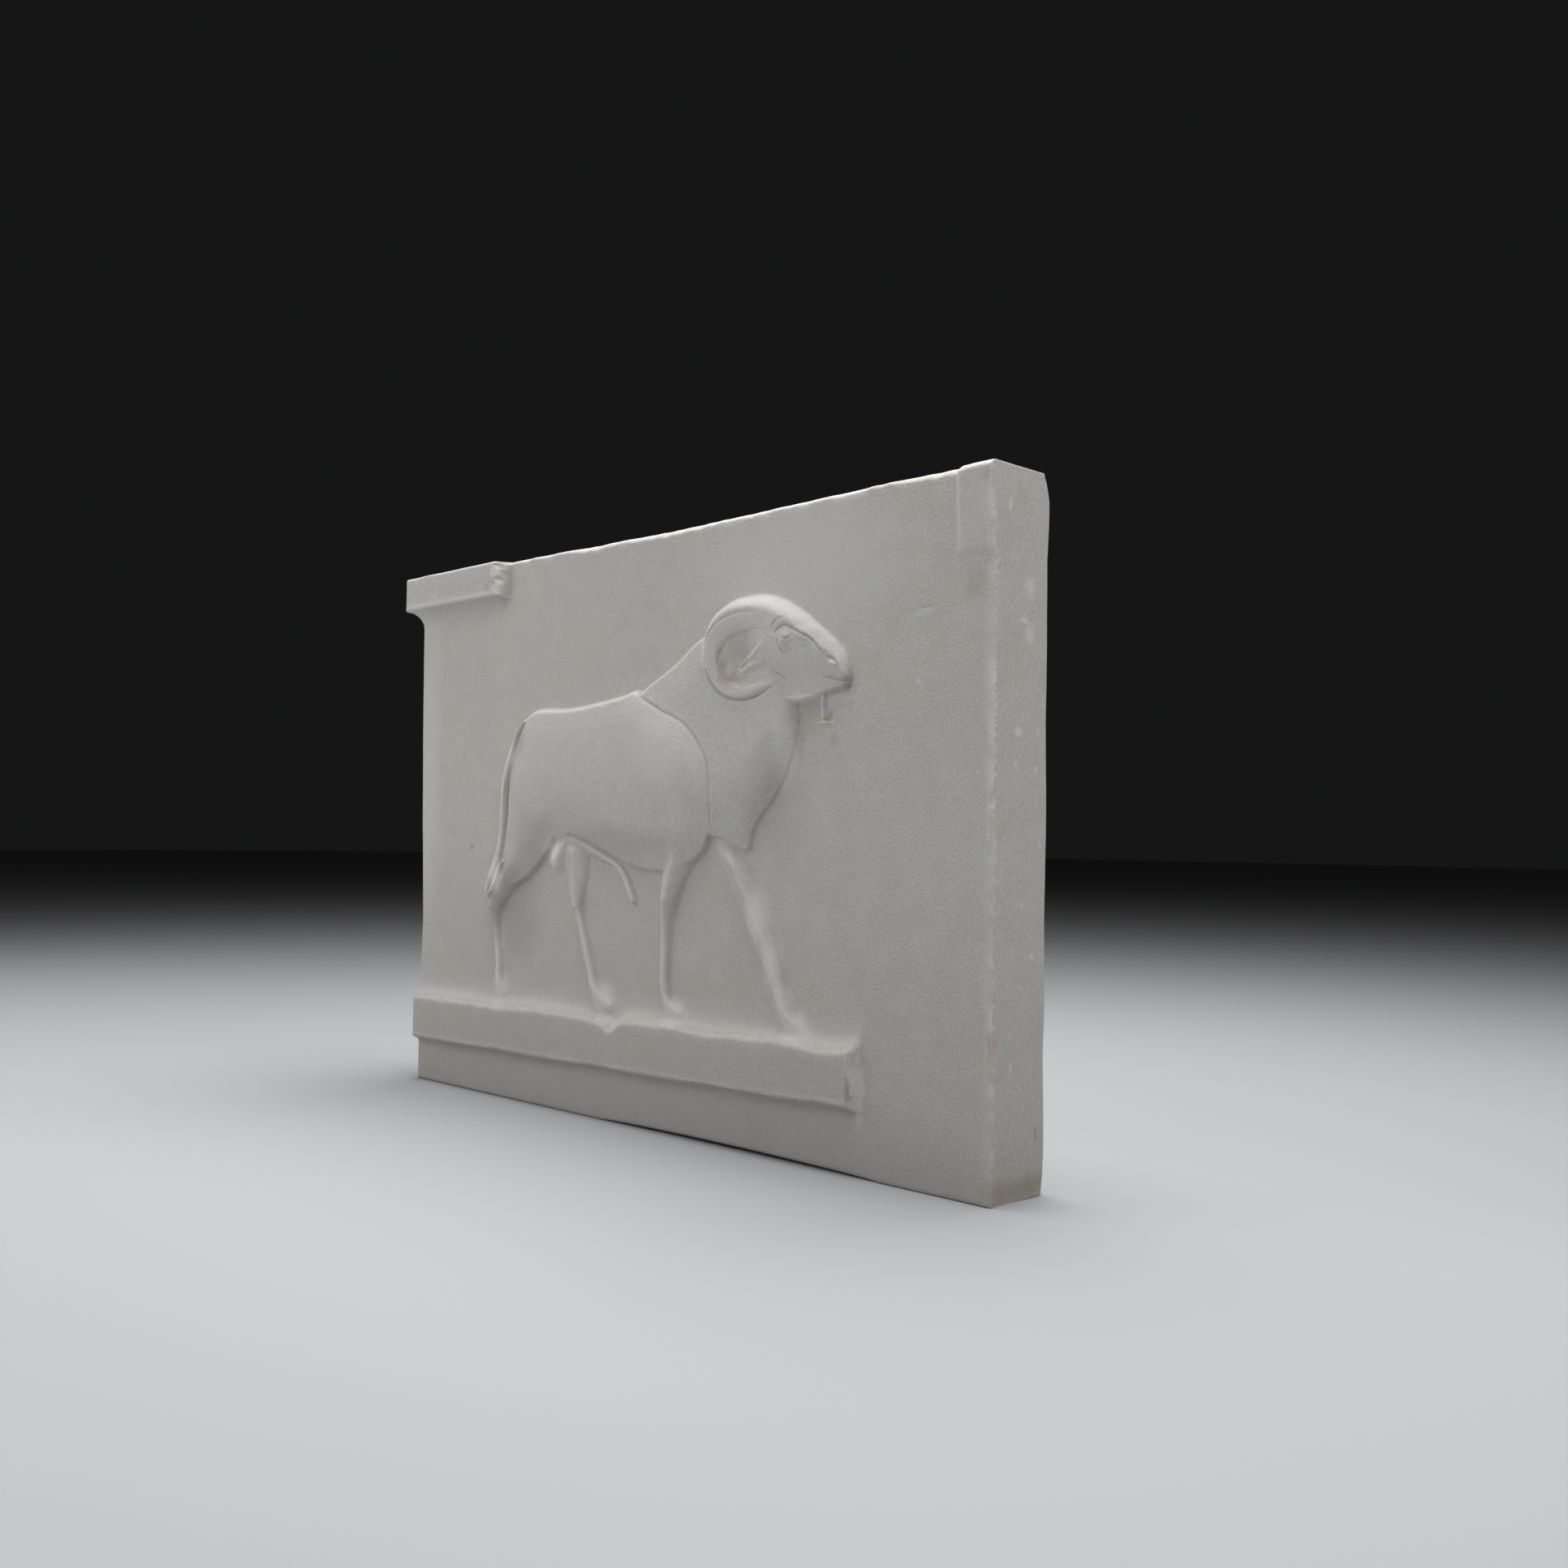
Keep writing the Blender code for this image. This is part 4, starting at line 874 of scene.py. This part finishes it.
def straight(sheet, size):
    """Which squares of that many cells have a surface that runs straight between their corners."""
    half = size // 2
    corner, centre = sheet[::size, ::size], sheet[half::size, half::size]
    along_rows = np.linalg.norm(sheet[::size, half::size] - (corner[:, :-1] + corner[:, 1:]) / 2, axis=-1)
    up_columns = np.linalg.norm(sheet[half::size, ::size] - (corner[:-1] + corner[1:]) / 2, axis=-1)
    middle = (corner[:-1, :-1] + corner[:-1, 1:] + corner[1:, :-1] + corner[1:, 1:]) / 4
    off = np.linalg.norm(centre - middle, axis=-1)
    off = np.maximum(off, np.maximum(along_rows[:-1], along_rows[1:]))
    return np.maximum(off, np.maximum(up_columns[:, :-1], up_columns[:, 1:])) < SLACK


def merged_cells(sheet):
    """For each size of square, the first row and column of the squares that stay, from single cells up."""
    stays = [np.ones((sheet.shape[0] - 1, sheet.shape[1] - 1), bool)]
    for level in range(1, LARGEST_MERGE + 1):
        ringed = np.pad(stays[-1], 1, constant_values=True)
        rows, columns = stays[-1].shape
        around = np.ones((rows // 2, columns // 2), bool)
        for r in range(4):
            for c in range(4):
                around &= ringed[r : r + rows - 1 : 2, c : c + columns - 1 : 2]
        stays.append(around & straight(sheet, 2**level))
    squares = []
    for level, mask in enumerate(stays):
        if level < LARGEST_MERGE:
            mask = mask & ~np.kron(stays[level + 1], np.ones((2, 2), bool))
        squares.append(np.argwhere(mask) * 2**level)
    return squares


def used_places(shape, squares):
    """Which points of a sheet are a corner of some square."""
    used = np.zeros(shape, bool)
    for level, corner in enumerate(squares):
        for r in (0, 2**level):
            for c in (0, 2**level):
                used[corner[:, 0] + r, corner[:, 1] + c] = True
    return used


def faces_of(squares, used, number):
    """One face for each square, through every used point on its edge."""
    faces = []
    for level, corner in enumerate(squares):
        size = 2**level
        walk = once_round(np.stack(np.mgrid[: size + 1, : size + 1], axis=-1))[:-1]
        rows, columns = corner[:, :1] + walk[:, 0], corner[:, 1:] + walk[:, 1]
        for points, keep in zip(number[rows, columns], used[rows, columns]):
            faces.append(points[keep].tolist())
    return faces


def share_borders(used):
    """Marks a border point as used on both sheets that meet there."""
    front, belt, back = used
    for sheet, row, step in ((front, 0, 1), (back, -1, -1)):
        border = once_round(np.arange(sheet.size).reshape(sheet.shape)[:, ::step])
        both = sheet.flat[border] | belt[row, ::-1]
        both[0] = both[-1] = True
        sheet.flat[border] = both
        belt[row] = both[::-1]
    seam = belt[:, 0] | belt[:, -1]
    belt[:, 0] = belt[:, -1] = seam


def cast_mesh(name, shift):
    """Closed mesh of the front, the belt of sides and the back, which share the points of their borders."""
    front, front_marks = front_sheet()
    back = back_sheet(front)
    belt, belt_marks = side_belt(front, back)
    sheets = [front, belt[:, ::-1], back[:, ::-1]]
    squares = [merged_cells(sheet) for sheet in sheets]
    used = [used_places(sheet.shape[:2], cells) for sheet, cells in zip(sheets, squares)]
    share_borders(used)
    points, faces, first = [], [], 0
    for sheet, cells, mask in zip(sheets, squares, used):
        number = np.zeros(mask.shape, int)
        number[mask] = first + np.arange(mask.sum())
        faces += faces_of(cells, mask, number)
        points.append(sheet[mask])
        first += mask.sum()
    mesh = bpy.data.meshes.new(name)
    mesh.from_pydata((np.vstack(points) + shift).tolist(), [], faces)
    for mark, on_front in front_marks.items():
        on_back = np.zeros(used[2].sum())
        values = np.concatenate([on_front[used[0]], belt_marks[mark][:, ::-1][used[1]], on_back])
        mesh.attributes.new(mark, "FLOAT", "POINT").data.foreach_set("value", values)
    weld = bmesh.new()
    weld.from_mesh(mesh)
    bmesh.ops.remove_doubles(weld, verts=weld.verts, dist=SAME_PLACE)
    weld.to_mesh(mesh)
    weld.free()
    mesh.shade_smooth()
    return mesh


low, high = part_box("ram_relief_plaque")
to_frame = np.array([high.x - WIDTH, high.y - THICKNESS, 0.0])
cast = cast_mesh("ram_relief_cast", to_frame)
ram_relief_cast = bpy.data.objects.new("ram_relief_cast", cast)
bpy.context.scene.collection.objects.link(ram_relief_cast)
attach(ram_relief_cast, "root")
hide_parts("ram_relief_plaque")


# Casting plaster, gypsum set in a mould and left bare: matt and chalky, pale grey with a warm cast, a little
# yellower or bluer in patches, pale where it is rubbed and grey or brown where dirt has settled. Painted
# highlights and painted shade are laid over it as well, and it is darker towards the foot, as painted shade.
def linear(hex_colour):
    """Linear colour of an sRGB hex value."""
    parts = [int(hex_colour[k : k + 2], 16) / 255 for k in (1, 3, 5)]
    parts = [c / 12.92 if c <= 0.04045 else ((c + 0.055) / 1.055) ** 2.4 for c in parts]
    return (*parts, 1)


def add(tree, kind, inputs=(), **settings):
    """Adds a node with its settings; each input is a socket's name or number with a value or a link."""
    made = tree.nodes.new(kind)
    for name, value in settings.items():
        setattr(made, name, value)
    for socket, value in inputs:
        if isinstance(value, bpy.types.NodeSocket):
            tree.links.new(value, made.inputs[socket])
        else:
            made.inputs[socket].default_value = value
    return made


# Stains on the ram, and patches of painted light and shade, in its own drawing: across, up, half-width,
# half-height, tint, share. The pale patches on the jaw, the muzzle's slant, the scrotum, the heel, the near
# hind shank, the far foreleg, the throat, the shoulder and the hooves are painted highlight, or lighten a
# cast shadow; the grey ones on the ground under the thigh, along the thigh's and the belly's under side, in
# the groin, beside the chest, along the horn's rim and the brow, and at the muzzle's tip are painted shade.
RAM_STAINS_AND_LIGHT = (
    (105.5, 87, 5.6, 4.6, "#857c70", 0.36), (100.4, 83.4, 1.7, 2.8, "#86604e", 0.44),
    (103, 81, 2.8, 1.5, "#8a6352", 0.42), (106.6, 80.9, 2.6, 1.3, "#a88478", 0.3),
    (99.4, 87.6, 0.8, 1.7, "#a3a17c", 0.26), (105.1, 82.9, 0.8, 1.4, "#8f8d66", 0.28),
    (121.3, 87.9, 1.5, 1.7, "#8b866c", 0.35), (137.5, 78.3, 1.3, 1.8, "#5f574c", 0.34),
    (120.3, 71.6, 2.6, 2.3, "#a8877a", 0.18), (123.2, 67.5, 1.8, 4.6, "#8f8372", 0.2),
    (128, 75.2, 9, 1.3, "#e6e4e0", 0.45), (135.4, 84, 1.9, 2.6, "#efeeea", 0.4),
    (131.9, 71.2, 1, 1.5, "#99664a", 0.42), (133, 66, 1.4, 1.6, "#a09a70", 0.35),
    (8.6, 19, 1.8, 3.6, "#977a6d", 0.26), (97, 34.5, 3.4, 2.4, "#b3aa88", 0.14),
    (113, 94, 2.2, 1.6, "#a5a382", 0.12), (127, 71, 3, 4, "#9a917f", 0.25),
    (15, 23, 13, 12, "#75716b", 0.24), (15, 33.5, 6, 4, "#75716b", 0.2), (24, 39.5, 6, 4, "#75716b", 0.18),
    (117, 51, 9, 13, "#7b7770", 0.14), (62, 43.5, 22, 4.5, "#7b7770", 0.18),
    (26, 46, 8, 5, "#7b7770", 0.18), (33.8, 40.6, 3.2, 3.5, "#f2f1ee", 0.62),
    (8.9, 34, 3, 4, "#f6f5f2", 0.8), (4.4, 28.6, 2, 1.8, "#efeeea", 0.5),
    (9.2, 14, 1.6, 9, "#efeeea", 0.32), (110.6, 27, 3.4, 6, "#efeeea", 0.42),
    (115.2, 16.5, 3, 6, "#efeeea", 0.42), (118.8, 9, 3, 4, "#efeeea", 0.42),
    (119, 66, 3.2, 9, "#eae9e5", 0.42), (18.4, 71.5, 3, 4.6, "#8a857d", 0.28),
    (78, 67, 9, 9, "#e6e5e1", 0.34), (101, 97.4, 9, 1.5, "#8d8880", 0.3),
    (121.6, 91.8, 5.4, 1.5, "#8d8880", 0.3), (127.8, 88.6, 4.2, 1.5, "#8d8880", 0.3),
    (9.8, 4, 3.6, 4, "#e6e5e1", 0.55), (55, 5.4, 4.2, 3.6, "#e6e5e1", 0.6),
    (82.5, 3.6, 4.4, 3.2, "#e6e5e1", 0.55), (123, 4, 4.4, 3.4, "#e6e5e1", 0.55),
)
RAM_TINT_BEHIND = (-2, 6)

# Stains elsewhere, in millimetres from the slab's lower left corner: across, behind the face, up, the three
# half-sizes, tint, share. The pale patches on the ledge's top by the hooves and at the chip, at the ledge's
# end, under the block at the top left, on the small block, along the left edge and over the upper right of
# the face are painted light; the grey strips at the ledge's end and on the block's crumbled end are painted
# shade.
SLAB_STAINS_AND_LIGHT = (
    (225.2, 0, 121.5, 1.1, 2, 0.9, "#c6bd90", 0.55), (211.4, 0, 128.8, 3.2, 2, 1, "#d0d3d8", 0.5),
    (210, 0, 113.2, 0.6, 2, 0.6, "#e4e3df", 0.6), (227, 0, 92.6, 0.5, 2, 0.5, "#e4e3df", 0.5),
    (226.2, 0, 133.5, 3, 3, 4.5, "#8f867a", 0.2), (230, -2, 156.8, 0.8, 3, 2.2, "#b58a7c", 0.35),
    (230.5, 0, 33, 0.9, 2, 4, "#b58f80", 0.4), (193.3, -1, 20.5, 1.6, 3, 7.5, "#efeeea", 0.55),
    (191.6, -3, 20.5, 0.6, 2, 3.6, "#80796d", 0.4), (168, 0, 145, 36, 10, 19, "#dfdeda", 0.4),
    (4, 0, 100, 8, 10, 48, "#dfdeda", 0.35), (44, -4, 153, 2.2, 4, 2, "#8a8276", 0.2),
    (225.5, -1, 150, 6, 2, 11, "#dedcd8", 0.4), (30.8, 0, 74, 0.7, 2, 0.7, "#77736f", 0.5),
    (48.6, -1, 154.5, 2.6, 5, 6.2, "#857d70", 0.14), (20, 0, 148.7, 32, 6, 3.4, "#eeede9", 0.1),
    (101, -2, 27.5, 4, 4, 1.6, "#d9d8d3", 0.5), (48, -2, 28.5, 3, 4, 2, "#dad9d4", 0.45),
    (127, -2, 30, 4.2, 4, 1.8, "#dad9d4", 0.45), (172, -2, 30, 4.6, 4, 1.8, "#dad9d4", 0.45),
    (97, -2, 32, 3, 4, 1.8, "#dad9d4", 0.45), (231, 10.1, 153.9, 2, 2.6, 2.4, "#bdb393", 0.4),
    (231, 3, 3, 3, 6, 2.6, "#a08674", 0.4), (231, 15, 3, 3, 8, 2.2, "#8d857a", 0.45),
)
TINT_EDGE = (1.5, 0.3)

# Sizes of the patterns in metres. The plaster's own grain is about 0.3 mm; it is drawn coarser, at 0.6 mm,
# so that it shows at the distance from which the plaque is seen.
GRAIN_SIZE = 0.0006
GRAIN_DEPTH = 0.00036
BLOOM_SIZE = 0.006
PATCH_SIZE = 0.026
RAGGED_SIZE = 0.0022
PATTERN_HARSHNESS = 0.6
SHADED_BELOW = 0.022
DIMMED_BELOW = 0.095
EASED, EVEN = "SMOOTHSTEP", "LINEAR"
LEAST_GRAIN = 0.4
PLASTER_ROUGHNESS = 0.9

plaster = bpy.data.materials.new("casting_plaster")
plaster.use_nodes = True
tree = plaster.node_tree
shader = tree.nodes["Principled BSDF"]
places = add(tree, "ShaderNodeTexCoord").outputs["Object"]
height = add(tree, "ShaderNodeSeparateXYZ", ((0, places),)).outputs["Z"]
values = {}
for name, size, detail in (("grain", GRAIN_SIZE, 3), ("bloom", BLOOM_SIZE, 3), ("patches", PATCH_SIZE, 2)):
    inputs = (("Vector", places), ("Scale", 1 / size), ("Detail", detail), ("Roughness", PATTERN_HARSHNESS))
    values[name] = add(tree, "ShaderNodeTexNoise", inputs).outputs[0]
for name in ("wear_and_highlight", "dust_and_shade", "stippled"):
    values[name] = add(tree, "ShaderNodeAttribute", attribute_name=name).outputs["Fac"]

# Layers over the plaster's own colour, from its body outwards: the value that rules the layer, where it
# starts and where it is full, its greatest share, its tint, and whether it comes in eased or evenly
layers = [
    (values["bloom"], 0.25, 0.75, 1, "#cecdc7", EASED),
    (values["patches"], 0.4, 0.64, 0.35, "#c8c5c7", EASED),
    (values["grain"], 0.62, 0.36, 0.36, "#a5a29b", EASED),
    # Pale layer: wear, and painted highlight on edges, slants and the shelf that face the light
    (values["wear_and_highlight"], 0, 1, 0.8, "#ebeae7", EVEN),
    # Dark layer: dust, and painted shade in the recesses and on the lee side
    (values["dust_and_shade"], 0, 1, 0.28, "#79746c", EVEN),
    # Painted shade: the plaque grows darker towards the floor, as the lamps light it less there
    (height, SHADED_BELOW, 0, 0.22, "#8f8a83", EASED),
    (height, DIMMED_BELOW, 0, 0.24, "#8f8a83", EASED),
]

# A stain, or a patch of painted light or shade, is a soft ellipsoid with a ragged edge: its layer is ruled by
# the distance from its centre, counted in its own half-sizes
MIDDLE = (0.5, 0.5, 0.5)
inputs = (("Vector", places), ("Scale", 1 / RAGGED_SIZE), ("Detail", 2))
ragged = add(tree, "ShaderNodeTexNoise", inputs).outputs["Color"]
for step, by in (("SUBTRACT", (1, MIDDLE)), ("SCALE", ("Scale", RAGGED_SIZE)), ("ADD", (1, places))):
    ragged = add(tree, "ShaderNodeVectorMath", ((0, ragged), by), operation=step).outputs[0]
tinted_patches = []
for across, up, half_across, half_up, tint, share in RAM_STAINS_AND_LIGHT:
    centre = (RAM_FROM_LEFT + across * HUNDREDTH, RAM_TINT_BEHIND[0] / 1000, HOOVES + up * HUNDREDTH)
    halves = (half_across * HUNDREDTH, RAM_TINT_BEHIND[1] / 1000, half_up * HUNDREDTH)
    tinted_patches.append((centre, halves, tint, share))
for *numbers, tint, share in SLAB_STAINS_AND_LIGHT:
    numbers = np.array(numbers) / 1000
    tinted_patches.append((numbers[:3], numbers[3:], tint, share))
for centre, halves, tint, share in tinted_patches:
    away = ragged
    for step, by in (("SUBTRACT", centre + to_frame), ("DIVIDE", halves)):
        away = add(tree, "ShaderNodeVectorMath", ((0, away), (1, by)), operation=step).outputs[0]
    away = add(tree, "ShaderNodeVectorMath", ((0, away),), operation="LENGTH").outputs["Value"]
    layers.append((away, *TINT_EDGE, share, tint, EASED))

colour = linear("#c8c6bf")
for value, start, full, share, tint, way in layers:
    inputs = ((0, value), (1, start), (2, full), (4, share))
    amount = add(tree, "ShaderNodeMapRange", inputs, interpolation_type=way, clamp=False).outputs[0]
    inputs = ((0, amount), (6, colour), (7, linear(tint)))
    colour = add(tree, "ShaderNodeMix", inputs, data_type="RGBA").outputs[2]
tree.links.new(colour, shader.inputs["Base Color"])
shader.inputs["Roughness"].default_value = PLASTER_ROUGHNESS

inputs = ((0, values["stippled"]), (1, 1 - LEAST_GRAIN), (2, LEAST_GRAIN))
strength = add(tree, "ShaderNodeMath", inputs, operation="MULTIPLY_ADD").outputs[0]
inputs = (("Strength", strength), ("Distance", GRAIN_DEPTH), ("Height", values["grain"]))
tree.links.new(add(tree, "ShaderNodeBump", inputs).outputs["Normal"], shader.inputs["Normal"])
cast.materials.append(plaster)

# The studio: a wide pale floor in a dim room, and soft lamps on the left, in front, on the right and above.
# The one above stands a little behind the face, so that it lights only what faces up.
FLOOR_HALF = 6.0
FLOOR_ROUGHNESS = 0.8
ROOM_LIGHT = 0.012
floor_mesh = bpy.data.meshes.new("studio_floor")
corners = [(a * FLOOR_HALF, b * FLOOR_HALF, 0) for a, b in ((-1, -1), (1, -1), (1, 1), (-1, 1))]
floor_mesh.from_pydata(corners, [], [(0, 1, 2, 3)])
studio_floor = bpy.data.objects.new("studio_floor", floor_mesh)
bpy.context.scene.collection.objects.link(studio_floor)
paint = bpy.data.materials.new("floor_paint")
paint.use_nodes = True
paint.node_tree.nodes["Principled BSDF"].inputs["Base Color"].default_value = linear("#b4b5b8")
paint.node_tree.nodes["Principled BSDF"].inputs["Roughness"].default_value = FLOOR_ROUGHNESS
floor_mesh.materials.append(paint)

# Lamps: place, size across in metres, power in watts. All of them are turned to one point on the plaque.
AIM = Vector((0, 0, 0.09))
SOFT_BOXES = (
    ("left_soft_box", (-0.46, -0.4, 0.4), 0.55, 1.7),
    ("front_soft_box", (0, -0.6, 0.5), 0.6, 0.68),
    ("top_soft_box", (0, 0.1, 0.6), 0.45, 4.1),
    ("right_high_soft_box", (0.34, -0.06, 0.52), 0.45, 1.1),
    ("right_low_soft_box", (0.6, 0.1, 0.16), 0.45, 0.34),
)
for name, place, size, power in SOFT_BOXES:
    lamp = bpy.data.lights.new(name, "AREA")
    lamp.shape = "DISK"
    lamp.size = size
    lamp.energy = power
    soft_box = bpy.data.objects.new(name, lamp)
    soft_box.location = place
    soft_box.rotation_euler = (AIM - Vector(place)).to_track_quat("-Z", "Y").to_euler()
    bpy.context.scene.collection.objects.link(soft_box)

room = bpy.data.worlds.new("pale_room")
room.use_nodes = True
room.node_tree.nodes["Background"].inputs["Color"].default_value = linear("#d2d4d6")
room.node_tree.nodes["Background"].inputs["Strength"].default_value = ROOM_LIGHT
bpy.context.scene.world = room
bpy.context.scene.view_settings.view_transform = "Standard"

# The camera stands where the photograph was taken from, worked out from the slab's corners. Its angles are
# in degrees, its lens and sensor in millimetres.
CAMERA_PLACE = (0.3158, -0.2654, 0.0775)
CAMERA_YAW = 45.493
CAMERA_PITCH = 2.11
CAMERA_ROLL = 0.731
LENS = 34.658
SENSOR = 36
lens = bpy.data.cameras.new("photograph_view")
lens.sensor_width = SENSOR
lens.lens = LENS
camera = bpy.data.objects.new("photograph_view", lens)
turn = Euler((0, 0, np.radians(CAMERA_YAW))).to_matrix()
turn = turn @ Euler((np.radians(90 + CAMERA_PITCH), 0, 0)).to_matrix()
turn = turn @ Euler((0, 0, np.radians(CAMERA_ROLL))).to_matrix()
camera.matrix_world = turn.to_4x4()
camera.location = CAMERA_PLACE
bpy.context.scene.collection.objects.link(camera)
bpy.context.scene.camera = camera
